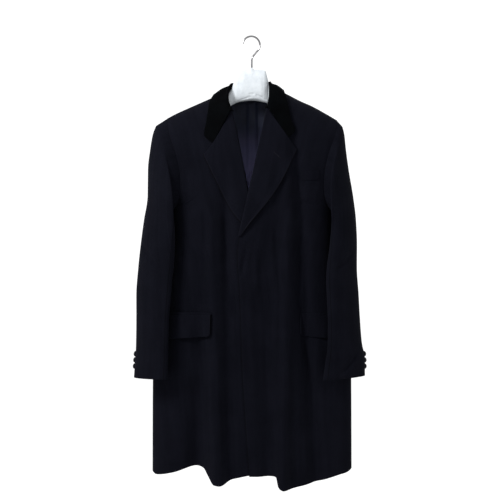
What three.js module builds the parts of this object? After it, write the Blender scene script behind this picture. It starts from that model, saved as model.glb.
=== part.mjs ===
// A chesterfield coat on a wrapped hanger: wool body, velvet collar, fly front and flap pockets.
// Millimetres, +Z up. The coat's front faces -Y and the wearer's left is +X. The origin is the inside
// of the hook's crown, where a rail holds it. Every "drop" is the distance below the drop line, which
// lies crownRise below the crown.
import * as THREE from "three";

// ---------------------------------------------------------------- driving sizes
const clothWall = 2; // coating wool
const lapelWall = 2.4; // two layers of wool, pressed
const collarWall = 3; // velvet over its undercollar
const flapWall = 2.4;
const seamGap = 0.5; // between two pieces that are sewn together
const hookWire = 5; // diameter
const hookRadius = 22.8; // to the middle of the wire
const crownRise = 12.5; // from the drop line up to the inside of the hook's crown
const buttonDiameter = 15;
const buttonThick = 3.6;

const bodyCentre = 2; // x of the centre back seam
const sideSharpness = 0.35; // exponent of the body's section: lower is boxier
const capHeight = 66; // how far down the shoulders round away
const ventTop = 700; // the centre vent opens below this drop
const ventLap = 38; // how far the right back runs under the left one there
const ventInset = 3.6;

// The body's section at each drop: half its width, and its depth before and behind the shoulder seams.
const bodyRows = [
  { drop: 90, half: 243, front: 54, back: 48 },
  { drop: 213, half: 242, front: 56, back: 50 },
  { drop: 264, half: 238, front: 59, back: 52 },
  { drop: 316, half: 229, front: 62, back: 54 },
  { drop: 368, half: 221, front: 64, back: 55 },
  { drop: 446, half: 210, front: 66, back: 56 },
  { drop: 530, half: 209, front: 66, back: 56 },
  { drop: 628, half: 222, front: 62, back: 55 },
  { drop: 732, half: 241, front: 58, back: 54 },
  { drop: 888, half: 262, front: 56, back: 54 },
  { drop: 1140, half: 263, front: 56, back: 56 },
];

// The line over the shoulders. Between the neck points it is only the ridge the rounding is measured from.
const shoulderRows = [
  { x: -236, drop: 210 },
  { x: -199, drop: 190.6 },
  { x: -151.5, drop: 169.4 },
  { x: -127.7, drop: 159 },
  { x: -61, drop: 130 },
  { x: 0, drop: 107 },
  { x: 61, drop: 124 },
  { x: 134, drop: 159 },
  { x: 158, drop: 169.4 },
  { x: 197.5, drop: 190.6 },
  { x: 216, drop: 201.2 },
  { x: 236, drop: 213 },
];

// The armhole's edge as seen from the front, from the shoulder point down to the side seam.
const armholeRows = [
  { drop: 207, x: 226 },
  { drop: 234, x: 223 },
  { drop: 256, x: 217 },
  { drop: 307, x: 200 },
  { drop: 356, x: 191 },
  { drop: 394, x: 190 },
  { drop: 425, x: 196 },
  { drop: 446, x: 211 },
];

// The fronts' inner edges: neckline, then roll line, then the buttoned edge.
const leftEdgeRows = [
  { drop: 136, x: 70 },
  { drop: 158, x: 53 },
  { drop: 181, x: 42.5 },
  { drop: 235, x: 32 },
  { drop: 335, x: 10 },
  { drop: 435, x: -12 },
  { drop: 514, x: -30.5 },
  { drop: 568, x: -36 },
  { drop: 680, x: -30 },
  { drop: 805, x: -25.5 },
  { drop: 896, x: -22 },
  { drop: 1022, x: -13.5 },
  { drop: 1140, x: -5 },
];
const rightEdgeRows = [
  { drop: 142, x: -70 },
  { drop: 168, x: -61 },
  { drop: 188, x: -53 },
  { drop: 235, x: -42 },
  { drop: 335, x: -22.5 },
  { drop: 435, x: -3 },
  { drop: 508, x: 11 },
  { drop: 560, x: 25 },
  { drop: 680, x: 32 },
  { drop: 1140, x: 40 },
];

// The fronts' hem, from the wearer's right side seam to the left one.
const rightHemRows = [
  { x: -261, drop: 1131 },
  { x: -250, drop: 1137 },
  { x: -206, drop: 1129 },
  { x: -143, drop: 1113 },
  { x: -126, drop: 1117 },
  { x: -112, drop: 1138 },
  { x: -98, drop: 1158 },
  { x: -80, drop: 1160 },
  { x: -50, drop: 1146 },
  { x: -10, drop: 1136 },
  { x: 45, drop: 1128 },
];
const leftHemRows = [
  { x: -10, drop: 1137 },
  { x: 28, drop: 1138 },
  { x: 63, drop: 1137 },
  { x: 70, drop: 1166 },
  { x: 84, drop: 1172 },
  { x: 106, drop: 1168 },
  { x: 168, drop: 1154 },
  { x: 230, drop: 1136 },
  { x: 250, drop: 1132 },
  { x: 265, drop: 1124 },
];
const backHemRows = [
  { x: -262, drop: 1120 },
  { x: -120, drop: 1098 },
  { x: 0, drop: 1100 },
  { x: 120, drop: 1102 },
  { x: 266, drop: 1114 },
];

// The folds, each running from one point to another. push is how far it stands out at its lower end (below
// nought it falls back), atTop the share of that at its upper end, width the distance over which it fades.
const frontFolds = [
  { topX: -112, top: 430, bottomX: -86, bottom: 1160, push: 21, atTop: 0.25, width: 24 },
  { topX: -124, top: 520, bottomX: -143, bottom: 1120, push: -24, atTop: 0.15, width: 24 },
  { topX: -66, top: 440, bottomX: -56, bottom: 1150, push: -11, atTop: 0.9, width: 17 },
  { topX: -200, top: 700, bottomX: -212, bottom: 1150, push: 8, atTop: 0, width: 26 },
  { topX: 20, top: 560, bottomX: 40, bottom: 1150, push: -7, atTop: 0.6, width: 22 },
  { topX: 44, top: 470, bottomX: 44, bottom: 820, push: -6, atTop: 0.8, width: 15 },
  { topX: 100, top: 430, bottomX: 82, bottom: 1170, push: 22, atTop: 0.35, width: 20 },
  { topX: 118, top: 330, bottomX: 170, bottom: 1160, push: -17, atTop: 0.75, width: 17 },
  { topX: 212, top: 860, bottomX: 222, bottom: 1150, push: 7, atTop: 0, width: 26 },
];
const backFolds = [
  { topX: -168, top: 420, bottomX: -186, bottom: 1120, push: 16, atTop: 0.25, width: 26 },
  { topX: -112, top: 480, bottomX: -122, bottom: 1110, push: -14, atTop: 0.3, width: 24 },
  { topX: -62, top: 560, bottomX: -66, bottom: 1110, push: 12, atTop: 0.1, width: 22 },
  { topX: 54, top: 620, bottomX: 62, bottom: 1110, push: 13, atTop: 0.1, width: 24 },
  { topX: 106, top: 460, bottomX: 122, bottom: 1110, push: -15, atTop: 0.35, width: 25 },
  { topX: 166, top: 430, bottomX: 192, bottom: 1120, push: 15, atTop: 0.2, width: 28 },
];

// The sleeves, ring by ring from the armhole to the cuff. out is the side away from the body and in the
// side towards it, each with its x, its drop and its y; thick is half the ring's depth, and lean draws its
// front and back towards the chest, as the armhole curves.
const rightSleeveRows = [
  { outX: -252, outDrop: 222, outY: 1, inX: -212, inDrop: 463, inY: -22, thick: 46, lean: 20 },
  { outX: -260, outDrop: 243, outY: 1, inX: -202, inDrop: 481, inY: -48, thick: 44, lean: 19 },
  { outX: -267.5, outDrop: 286, outY: 0, inX: -198.5, inDrop: 500, inY: -57, thick: 42, lean: 15 },
  { outX: -273, outDrop: 338, outY: -2, inX: -198, inDrop: 522, inY: -60, thick: 41, lean: 10 },
  { outX: -273.5, outDrop: 407, outY: -6, inX: -198.5, inDrop: 546, inY: -60, thick: 39, lean: 5 },
  { outX: -283, outDrop: 472, outY: -10, inX: -199.5, inDrop: 570, inY: -61, thick: 36, lean: 1 },
  { outX: -290.5, outDrop: 532, outY: -15, inX: -201, inDrop: 596, inY: -62, thick: 33, lean: 0 },
  { outX: -297, outDrop: 597, outY: -20, inX: -205, inDrop: 630, inY: -62, thick: 30, lean: 0 },
  { outX: -301.5, outDrop: 667, outY: -26, inX: -209, inDrop: 684, inY: -67, thick: 27, lean: 0 },
  { outX: -301, outDrop: 732, outY: -30, inX: -213, inDrop: 738, inY: -72, thick: 25, lean: 0 },
  { outX: -301.5, outDrop: 797, outY: -33, inX: -214, inDrop: 799, inY: -74, thick: 24, lean: 0 },
  { outX: -304, outDrop: 841, outY: -35, inX: -215, inDrop: 841, inY: -75, thick: 24, lean: 0 },
  { outX: -306.5, outDrop: 882, outY: -36, inX: -217, inDrop: 882, inY: -76, thick: 24, lean: 0 },
];
const leftSleeveRows = [
  { outX: 241, outDrop: 224, outY: 1, inX: 215.5, inDrop: 462, inY: -12, thick: 46, lean: 20 },
  { outX: 246, outDrop: 244, outY: 1, inX: 211, inDrop: 483, inY: -40, thick: 45, lean: 19 },
  { outX: 250.5, outDrop: 286, outY: 0, inX: 209, inDrop: 502, inY: -46, thick: 44, lean: 15 },
  { outX: 258, outDrop: 342, outY: -2, inX: 206, inDrop: 522, inY: -46, thick: 42, lean: 10 },
  { outX: 269, outDrop: 410, outY: -6, inX: 203, inDrop: 546, inY: -52, thick: 39, lean: 5 },
  { outX: 276, outDrop: 472, outY: -10, inX: 199, inDrop: 570, inY: -59, thick: 35, lean: 1 },
  { outX: 278.2, outDrop: 532, outY: -15, inX: 195, inDrop: 596, inY: -65, thick: 31, lean: 0 },
  { outX: 277.5, outDrop: 597, outY: -20, inX: 193, inDrop: 630, inY: -71, thick: 28, lean: 0 },
  { outX: 281.5, outDrop: 667, outY: -26, inX: 195, inDrop: 684, inY: -75, thick: 26, lean: 0 },
  { outX: 284.6, outDrop: 732, outY: -30, inX: 197, inDrop: 738, inY: -78, thick: 24, lean: 0 },
  { outX: 289, outDrop: 790, outY: -32, inX: 196, inDrop: 799, inY: -80, thick: 23, lean: 0 },
  { outX: 296.5, outDrop: 832, outY: -34, inX: 190, inDrop: 843, inY: -82, thick: 23, lean: 0 },
  { outX: 297, outDrop: 877, outY: -36, inX: 184, inDrop: 884, inY: -84, thick: 24, lean: 0 },
];
// The sleeve's two seams, as angles round it from its outer side forwards.
const foreSeam = 2.5;
const hindSeam = -0.62; // at the elbow, beside the cuff buttons

// The lapels, a row for each section from the gorge down: where it rolls, and where it ends.
const leftLapelRows = [
  { rollX: 39, rollDrop: 184, edgeX: 118, edgeDrop: 288 },
  { rollX: 29, rollDrop: 235, edgeX: 108, edgeDrop: 311 },
  { rollX: 18, rollDrop: 285, edgeX: 93, edgeDrop: 343 },
  { rollX: 7, rollDrop: 335, edgeX: 75, edgeDrop: 377 },
  { rollX: -4, rollDrop: 385, edgeX: 51, edgeDrop: 414 },
  { rollX: -15, rollDrop: 435, edgeX: 22, edgeDrop: 450 },
  { rollX: -26, rollDrop: 482, edgeX: -7, edgeDrop: 485 },
  { rollX: -33, rollDrop: 513, edgeX: -26, edgeDrop: 511 },
];
const rightLapelRows = [
  { rollX: -50, rollDrop: 191, edgeX: -124, edgeDrop: 291 },
  { rollX: -39, rollDrop: 235, edgeX: -117, edgeDrop: 316 },
  { rollX: -29, rollDrop: 285, edgeX: -104, edgeDrop: 346 },
  { rollX: -19.5, rollDrop: 335, edgeX: -88, edgeDrop: 378 },
  { rollX: -10, rollDrop: 385, edgeX: -68, edgeDrop: 420 },
  { rollX: 0, rollDrop: 435, edgeX: -44, edgeDrop: 459 },
  { rollX: 8, rollDrop: 478, edgeX: -14, edgeDrop: 492 },
  { rollX: 13.5, rollDrop: 507, edgeX: 7, edgeDrop: 510 },
];

// The velvet collar, a row for each section from the wearer's right gorge round the neck to the left one.
// neck is its seam to the body, roll the top of the stand, edge the fall's outer edge, and back says on
// which side of the shoulder seams it lies.
const collarRows = [
  { neckX: -46, neckDrop: 188, rollX: -51, rollDrop: 187, rollY: -60, edgeX: -99, edgeDrop: 273, back: 0 },
  { neckX: -49, neckDrop: 184, rollX: -54, rollDrop: 181, rollY: -58, edgeX: -121, edgeDrop: 249, back: 0 },
  { neckX: -53, neckDrop: 177, rollX: -57, rollDrop: 170, rollY: -54, edgeX: -116, edgeDrop: 219, back: 0 },
  { neckX: -57, neckDrop: 166, rollX: -60, rollDrop: 154, rollY: -45, edgeX: -111, edgeDrop: 192, back: 0 },
  { neckX: -61, neckDrop: 151, rollX: -59, rollDrop: 136, rollY: -27, edgeX: -107, edgeDrop: 168, back: 0 },
  { neckX: -64, neckDrop: 131, rollX: -50.5, rollDrop: 113, rollY: -3, edgeX: -97, edgeDrop: 147, back: 0 },
  { neckX: -56, neckDrop: 136, rollX: -46, rollDrop: 108, rollY: 18, edgeX: -92, edgeDrop: 161, back: 1 },
  { neckX: -42, neckDrop: 137, rollX: -33, rollDrop: 105, rollY: 32, edgeX: -70, edgeDrop: 165, back: 1 },
  { neckX: -24, neckDrop: 139, rollX: -20, rollDrop: 103.5, rollY: 39, edgeX: -38, edgeDrop: 165, back: 1 },
  { neckX: -3, neckDrop: 140, rollX: -4, rollDrop: 103, rollY: 41, edgeX: -4, edgeDrop: 165, back: 1 },
  { neckX: 20, neckDrop: 139, rollX: 13, rollDrop: 103, rollY: 39, edgeX: 32, edgeDrop: 164, back: 1 },
  { neckX: 38, neckDrop: 135, rollX: 28, rollDrop: 103.5, rollY: 32, edgeX: 62, edgeDrop: 161, back: 1 },
  { neckX: 51, neckDrop: 131, rollX: 42.5, rollDrop: 105, rollY: 18, edgeX: 82, edgeDrop: 155, back: 1 },
  { neckX: 62, neckDrop: 124, rollX: 46.5, rollDrop: 107, rollY: -3, edgeX: 83, edgeDrop: 136, back: 0 },
  { neckX: 54, neckDrop: 143, rollX: 46, rollDrop: 128, rollY: -30, edgeX: 90, edgeDrop: 161, back: 0 },
  { neckX: 48, neckDrop: 158, rollX: 45.5, rollDrop: 147, rollY: -48, edgeX: 96, edgeDrop: 190, back: 0 },
  { neckX: 43, neckDrop: 169, rollX: 43, rollDrop: 162, rollY: -54, edgeX: 101, edgeDrop: 211, back: 0 },
  { neckX: 38, neckDrop: 176, rollX: 41, rollDrop: 173, rollY: -58, edgeX: 112, edgeDrop: 237, back: 0 },
  { neckX: 34.5, neckDrop: 180, rollX: 39.5, rollDrop: 179, rollY: -60, edgeX: 94, edgeDrop: 257, back: 0 },
];

// The wrapped hanger, section by section along the shoulders: its top, its underside and half its thickness.
const hangerRows = [
  { x: -206, top: 207, bottom: 227, thick: 9 },
  { x: -198, top: 199, bottom: 231, thick: 15 },
  { x: -160, top: 181, bottom: 224, thick: 18 },
  { x: -116, top: 162, bottom: 204, thick: 18 },
  { x: -80, top: 148, bottom: 188, thick: 16 },
  { x: -66, top: 141, bottom: 178, thick: 14 },
  { x: -60, top: 135, bottom: 173, thick: 12.5 },
  { x: -56, top: 129.5, bottom: 170.5, thick: 12 },
  { x: -52, top: 123, bottom: 167.5, thick: 11 },
  { x: -48.5, top: 114, bottom: 165.5, thick: 10 },
  { x: -46, top: 105, bottom: 164.5, thick: 10 },
  { x: -41, top: 93, bottom: 162, thick: 12.5 },
  { x: -34.5, top: 77.5, bottom: 159.5, thick: 14 },
  { x: -10, top: 74, bottom: 155.4, thick: 15 },
  { x: 0, top: 68.5, bottom: 155, thick: 15 },
  { x: 10, top: 73.5, bottom: 155.3, thick: 15 },
  { x: 34, top: 75, bottom: 160, thick: 14 },
  { x: 37.5, top: 76.5, bottom: 161, thick: 12.5 },
  { x: 41, top: 88.5, bottom: 162, thick: 11 },
  { x: 44, top: 99.5, bottom: 163, thick: 8.5 },
  { x: 46.5, top: 111.5, bottom: 164.5, thick: 8 },
  { x: 50, top: 117.5, bottom: 167, thick: 10 },
  { x: 56, top: 124, bottom: 171, thick: 12 },
  { x: 62, top: 131, bottom: 174.5, thick: 13 },
  { x: 80, top: 144, bottom: 187, thick: 16 },
  { x: 116, top: 161, bottom: 205, thick: 18 },
  { x: 160, top: 182, bottom: 226, thick: 18 },
  { x: 194, top: 199, bottom: 233, thick: 15 },
  { x: 202, top: 207, bottom: 229, thick: 9 },
];

const liningWall = 1;
const liningStart = 13; // below the back neck
const liningBottom = 440;
const liningHalf = 66;
const pleatHalf = 12; // the lining's centre pleat, between its two folds
const pleatRise = 7;
const liningGap = 3;

const rightFlap = { fore: -105, hind: -226, top: 720, foreDepth: 53, hindDepth: 62, crease: -161 };
const leftFlap = { fore: 127, hind: 221, top: 722, foreDepth: 51, hindDepth: 58, crease: 190 };
const jetHeight = 6;
const breastWelt = { fore: 130, hind: 178, top: 346, height: 24 };
const cuffButtonDrops = [822, 838, 854];

// ---------------------------------------------------------------- small helpers
const clamp = (v, low, high) => Math.min(high, Math.max(low, v));

function ease(from, to, v) {
  const t = clamp((v - from) / (to - from), 0, 1);
  return t * t * (3 - 2 * t);
}

const mix = (a, b, t) => a + (b - a) * t;

// A smooth curve through one column of a table, read by another, with no overshoot between rows.
function column(rows, key, name) {
  const at = rows.map((row) => row[key]);
  const value = rows.map((row) => row[name]);
  const rise = at.slice(1).map((a, i) => (value[i + 1] - value[i]) / (a - at[i]));
  const slope = at.map((_, i) => {
    const before = rise[i - 1] ?? rise[i];
    const after = rise[i] ?? rise[i - 1];
    return before * after <= 0 ? 0 : (2 * before * after) / (before + after);
  });
  return (v) => {
    const x = clamp(v, at[0], at[at.length - 1]);
    let i = 0;
    while (i < at.length - 2 && x > at[i + 1]) i += 1;
    const span = at[i + 1] - at[i];
    const t = (x - at[i]) / span;
    const t2 = t * t;
    const t3 = t2 * t;
    return (
      (2 * t3 - 3 * t2 + 1) * value[i] +
      (t3 - 2 * t2 + t) * span * slope[i] +
      (3 * t2 - 2 * t3) * value[i + 1] +
      (t3 - t2) * span * slope[i + 1]
    );
  };
}

// The same table read by its row number, from 0 at the first row to 1 at the last.
function rowCurves(rows) {
  const numbered = rows.map((row, i) => ({ ...row, at: i / (rows.length - 1) }));
  const names = Object.keys(rows[0]).filter((name) => typeof rows[0][name] === "number");
  const curves = names.map((name) => [name, column(numbered, "at", name)]);
  return (t) => Object.fromEntries(curves.map(([name, curve]) => [name, curve(t)]));
}

const point = (x, y, drop) => new THREE.Vector3(x, y, -drop);

// A grid of points as one closed wall: the points are its outer face, and the inner face lies wall deep.
// flip says that the rows and columns turn the other way. keep moves a point that has crossed a seam back
// to its own side of it.
function wallGeometry(rows, wall, { flip = false, keep = (p) => p } = {}) {
  const high = rows.length;
  const wide = rows[0].length;
  const normal = (i, j) => {
    const along = rows[i][Math.min(j + 1, wide - 1)].clone().sub(rows[i][Math.max(j - 1, 0)]);
    const down = rows[Math.min(i + 1, high - 1)][j].clone().sub(rows[Math.max(i - 1, 0)][j]);
    const n = down.cross(along).normalize();
    return flip ? n.negate() : n;
  };
  const outerFace = rows.flatMap((row) => row.map((p) => keep(p.clone())));
  const innerFace = rows.flatMap((row, i) =>
    row.map((p, j) => keep(p.clone().addScaledVector(normal(i, j), -wall))),
  );
  const positions = [...outerFace, ...innerFace].flatMap((p) => p.toArray());
  const outer = (i, j) => i * wide + j;
  const inner = (i, j) => high * wide + outer(i, j);
  const index = [];
  const quad = (a, b, c, d) => (flip ? index.push(a, c, b, a, d, c) : index.push(a, b, c, a, c, d));
  for (let i = 0; i < high - 1; i += 1) {
    for (let j = 0; j < wide - 1; j += 1) {
      quad(outer(i, j), outer(i + 1, j), outer(i + 1, j + 1), outer(i, j + 1));
      quad(inner(i, j), inner(i, j + 1), inner(i + 1, j + 1), inner(i + 1, j));
    }
    quad(outer(i + 1, 0), outer(i, 0), inner(i, 0), inner(i + 1, 0));
    quad(outer(i, wide - 1), outer(i + 1, wide - 1), inner(i + 1, wide - 1), inner(i, wide - 1));
  }
  for (let j = 0; j < wide - 1; j += 1) {
    quad(outer(0, j), outer(0, j + 1), inner(0, j + 1), inner(0, j));
    quad(outer(high - 1, j + 1), outer(high - 1, j), inner(high - 1, j), inner(high - 1, j + 1));
  }
  const geometry = new THREE.BufferGeometry();
  geometry.setAttribute("position", new THREE.Float32BufferAttribute(positions, 3));
  geometry.setIndex(index);
  geometry.computeVertexNormals();
  return geometry;
}

// Rows of points from a function of two shares, both from 0 to 1.
function grid(high, wide, at) {
  return Array.from({ length: high + 1 }, (_, i) =>
    Array.from({ length: wide + 1 }, (__, j) => at(i / high, j / wide)),
  );
}

// ---------------------------------------------------------------- materials
const finish = (color, roughness, metalness = 0) =>
  new THREE.MeshStandardMaterial({ color, roughness, metalness, side: THREE.DoubleSide });
const wool = () => finish(0x12131c, 0.92);
const velvet = () => finish(0x060608, 0.85);
const satin = () => finish(0x2a2b4c, 0.42);
const wrap = () => finish(0xdfe4e8, 0.7);
const steel = () => finish(0xb9bbbd, 0.22, 1);
const horn = () => finish(0x101016, 0.4);

const coat = new THREE.Group();

function addPiece(name, geometry, material) {
  const mesh = new THREE.Mesh(geometry, material);
  mesh.name = name;
  mesh.position.z = -crownRise;
  coat.add(mesh);
  return mesh;
}

// ---------------------------------------------------------------- the body's form
const halfAt = column(bodyRows, "drop", "half");
const frontAt = column(bodyRows, "drop", "front");
const backAt = column(bodyRows, "drop", "back");
const shoulderAt = column(shoulderRows, "x", "drop");
const armholeAt = column(armholeRows, "drop", "x");
const armpit = armholeRows[armholeRows.length - 1];
const backArmholeEase = 0.5; // how much straighter the armhole runs behind

// The outer end of a shoulder seam, where the sleeve begins.
const shoulderEnd = (handSide) => bodyCentre + handSide * (armholeRows[0].x - bodyCentre);

// The x of the armhole's edge, for one side of the body.
function armholeX(drop, side) {
  const x = armholeAt(drop);
  if (side === "front") return x;
  const shoulder = armholeRows[0];
  const straight = mix(shoulder.x, armpit.x, (drop - shoulder.drop) / (armpit.drop - shoulder.drop));
  return mix(x, straight, backArmholeEase);
}

function foldPush(folds, x, drop) {
  return folds.reduce((sum, fold) => {
    const t = (drop - fold.top) / (fold.bottom - fold.top);
    if (t < -0.25 || t > 1.2) return sum;
    const middle = mix(fold.topX, fold.bottomX, t);
    const strength = fold.push * mix(fold.atTop, 1, clamp(t, 0, 1)) * ease(-0.25, 0.1, t);
    return sum + strength * Math.exp(-(((x - middle) / fold.width) ** 2));
  }, 0);
}

// How far the front or the back stands from the plane of the shoulder seams.
function depthAt(x, drop, side) {
  const share = clamp((x - bodyCentre) / halfAt(drop), -1, 1);
  const section = (1 - share * share) ** sideSharpness;
  const down = clamp((drop - shoulderAt(x)) / capHeight, 0, 1);
  const cap = Math.sqrt(1 - (1 - down) ** 2);
  const folds = side === "front" ? frontFolds : backFolds;
  const full = side === "front" ? frontAt(drop) : backAt(drop);
  return (full + foldPush(folds, x, drop)) * section * cap;
}

// The point of the body's outer face at an x and a drop, lifted off it by so much.
function bodyPoint(x, drop, side, lift = 0) {
  const sign = side === "front" ? -1 : 1;
  const at = (px, pd) => point(px, sign * depthAt(px, pd, side), pd);
  const here = at(x, drop);
  if (!lift) return here;
  const across = at(x + 1, drop).sub(at(x - 1, drop));
  const down = at(x, drop + 1.5).sub(at(x, Math.max(drop - 1.5, shoulderAt(x))));
  const normal = down.cross(across).normalize();
  if (normal.y * sign < 0) normal.negate();
  return here.addScaledVector(normal, lift);
}

// Where the wearer's left front laps over the right, it stands forward of it, most over the crossed lapels.
function lapLift(x, drop) {
  const over = mix(0, 9, ease(300, 380, drop)) - 5 * ease(540, 640, drop);
  return over * (1 - ease(36, 78, x));
}

// How far a panel reaches from the centre: to the armhole's edge, and below it to the side seam.
function sideEdge(drop, side) {
  return drop < armpit.drop ? armholeX(drop, side) - bodyCentre : halfAt(drop);
}

// The drop of a panel's row: the first rows share out the shoulder's rounding, the others the length below.
const capShare = 0.2;
function rowDrop(v, top, hem) {
  if (v < capShare) return top + capHeight * (1 - Math.cos((v / capShare) * (Math.PI / 2)));
  return mix(top + capHeight, hem, (v - capShare) / (1 - capShare));
}

// The x at a share of a panel's top row, between the x of its two ends.
function topX(fromX, toX, share) {
  const half = halfAt(shoulderAt(toX));
  const angle = (x) => Math.asin((x - bodyCentre) / half);
  return bodyCentre + half * Math.sin(mix(angle(fromX), angle(toX), share));
}

const beforeSeams = (p) => p.setY(Math.min(p.y, -seamGap / 2));
const behindSeams = (p) => p.setY(Math.max(p.y, seamGap / 2));

// ---------------------------------------------------------------- fronts
const frontRowCount = 28;
const frontColumns = 18;

function frontPanel(handSide, edgeRows, hemRows, extraLift) {
  const edgeAt = column(edgeRows, "drop", "x");
  const hemAt = column(hemRows, "x", "drop");
  const neckX = edgeRows[0].x;
  const shoulderX = shoulderEnd(handSide);
  const hemInnerX = edgeRows[edgeRows.length - 1].x;
  const hemOuterX = handSide * halfAt(bodyRows[bodyRows.length - 1].drop) + bodyCentre;
  const angleAt = (x, drop) => Math.asin(clamp((x - bodyCentre) / halfAt(drop), -1, 1));
  return grid(frontRowCount, frontColumns, (v, u) => {
    const topDrop = shoulderAt(topX(neckX, shoulderX, u));
    const innerDrop = rowDrop(v, shoulderAt(neckX), hemAt(hemInnerX));
    const outerDrop = rowDrop(v, shoulderAt(shoulderX), hemAt(hemOuterX));
    const inner = angleAt(edgeAt(innerDrop), innerDrop);
    const outer = angleAt(bodyCentre + handSide * sideEdge(outerDrop, "front"), outerDrop);
    const angle = mix(inner, outer, u);
    const nearX = bodyCentre + halfAt(mix(innerDrop, outerDrop, u)) * Math.sin(angle);
    const drop = rowDrop(v, topDrop, hemAt(nearX));
    const x = bodyCentre + halfAt(drop) * Math.sin(angle);
    const p = bodyPoint(x, drop, "front");
    p.y -= extraLift(x, drop);
    return p;
  });
}

addPiece(
  "front_left",
  wallGeometry(frontPanel(1, leftEdgeRows, leftHemRows, lapLift), clothWall, { keep: beforeSeams }),
  wool(),
);
addPiece(
  "front_right",
  wallGeometry(frontPanel(-1, rightEdgeRows, rightHemRows, () => 0), clothWall, {
    flip: true,
    keep: beforeSeams,
  }),
  wool(),
);

// ---------------------------------------------------------------- backs, with the lapped centre vent
const backRowCount = 24;
const backColumns = 10;
const backNeckX = 68; // half the width of the back neck
const backNeckDip = 36; // how far its middle falls below the shoulders' ridge

const backTop = (x) => shoulderAt(x) + backNeckDip * Math.max(0, 1 - (x / backNeckX) ** 2);

function backPanel(handSide, lap) {
  const hemAt = column(backHemRows, "x", "drop");
  const shoulderX = shoulderEnd(handSide);
  return grid(backRowCount, backColumns, (v, u) => {
    const columnX = topX(bodyCentre, shoulderX, u);
    const drop = rowDrop(v, backTop(columnX), hemAt(columnX));
    const opened = ease(ventTop - 40, ventTop - 5, drop);
    const startAngle = Math.asin((handSide * (seamGap / 2 - lap * opened)) / halfAt(drop));
    const endAngle = Math.asin(clamp(sideEdge(drop, "back") / halfAt(drop), 0, 1)) * handSide;
    const x = bodyCentre + halfAt(drop) * Math.sin(mix(startAngle, endAngle, u));
    const p = bodyPoint(x, drop, "back");
    const nearVent = 1 - ease(2, 34, handSide * (x - bodyCentre));
    if (lap) p.y -= ventInset * nearVent * ease(ventTop - 130, ventTop - 50, drop);
    return p;
  });
}

addPiece("back_left", wallGeometry(backPanel(1, 0), clothWall, { flip: true, keep: behindSeams }), wool());
addPiece("back_right", wallGeometry(backPanel(-1, ventLap), clothWall, { keep: behindSeams }), wool());

// ---------------------------------------------------------------- sleeves, each cut in two
const sleeveRows = 17;
const topSleeveColumns = 16;
const underSleeveColumns = 9;

const armholeGap = 1.6;

// The armhole's loop at an angle round the sleeve: 0 at the shoulder point, a quarter turn at the front.
function armholeLoop(handSide, angle) {
  const top = shoulderAt(shoulderEnd(handSide));
  const drop = mix(top, armpit.drop, (1 - Math.cos(angle)) / 2);
  const side = Math.sin(angle) >= 0 ? "front" : "back";
  const p = bodyPoint(bodyCentre + handSide * (armholeX(drop, side) - bodyCentre), drop, side);
  p.x += handSide * armholeGap;
  return p;
}

function sleeveRing(handSide, row, angle) {
  const outer = point(row.outX, row.outY, row.outDrop);
  const inner = point(row.inX, row.inY, row.inDrop);
  const p = inner.lerp(outer, (1 + Math.cos(angle)) / 2);
  p.y -= row.thick * Math.sin(angle);
  const lean = Math.sin(angle) > 0 ? row.lean : row.lean * backArmholeEase;
  p.x -= handSide * lean * Math.sin(angle) ** 2;
  return p;
}

function sleevePanel(handSide, rows, fromAngle, toAngle, columns) {
  const curves = rowCurves(rows);
  const armholeShare = 1 / sleeveRows;
  return grid(sleeveRows, columns, (v, u) => {
    const angle = mix(fromAngle, toAngle, u);
    if (v === 0) return armholeLoop(handSide, angle);
    return sleeveRing(handSide, curves((v - armholeShare) / (1 - armholeShare)), angle);
  });
}

const seamAngle = 0.03; // half the gap between the two parts of a sleeve, as an angle
const buttonTurn = 0.3; // from the elbow seam to the buttons, round the sleeve
const buttonGap = 0.9;

function buttonGeometry() {
  const rim = buttonDiameter / 2;
  const profile = [
    [0, 0],
    [rim - 1.6, 0],
    [rim, buttonThick * 0.45],
    [rim - 0.5, buttonThick],
    [rim - 2.4, buttonThick - 0.6],
    [0, buttonThick - 0.6],
  ];
  return new THREE.LatheGeometry(profile.map(([r, y]) => new THREE.Vector2(r, y)), 14);
}

for (const [hand, handSide, rows] of [
  ["right", -1, rightSleeveRows],
  ["left", 1, leftSleeveRows],
]) {
  const flip = handSide > 0;
  const top = sleevePanel(handSide, rows, hindSeam + seamAngle, foreSeam - seamAngle, topSleeveColumns);
  const under = sleevePanel(
    handSide,
    rows,
    foreSeam + seamAngle,
    hindSeam + 2 * Math.PI - seamAngle,
    underSleeveColumns,
  );
  addPiece("top_sleeve_" + hand, wallGeometry(top, clothWall, { flip }), wool());
  addPiece("under_sleeve_" + hand, wallGeometry(under, clothWall, { flip }), wool());

  // The cuff buttons stand on the top sleeve beside the elbow seam.
  const curves = rowCurves(rows);
  const onSleeve = (share, turn = 0) => sleeveRing(handSide, curves(share), hindSeam + buttonTurn + turn);
  cuffButtonDrops.forEach((drop, i) => {
    let share = 0.5;
    for (let step = 0.25; step > 1e-4; step /= 2) share += -onSleeve(share).z < drop ? step : -step;
    const here = onSleeve(share);
    const round = onSleeve(share, 0.05).sub(here);
    const down = onSleeve(share + 0.02).sub(here);
    const out = down.cross(round).normalize();
    if (out.x * handSide < 0) out.negate();
    const button = addPiece(`cuff_button_${hand}_${i + 1}`, buttonGeometry(), horn());
    button.quaternion.setFromUnitVectors(new THREE.Vector3(0, 1, 0), out);
    button.position.add(here).addScaledVector(out, buttonGap);
  });
}

// ---------------------------------------------------------------- lapels
const lapelSections = 13;
const lapelColumns = 9;
const rollColumns = 3; // columns that turn round the front's edge
const rollOuter = lapelWall + 2.6; // radius of that turn

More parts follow.
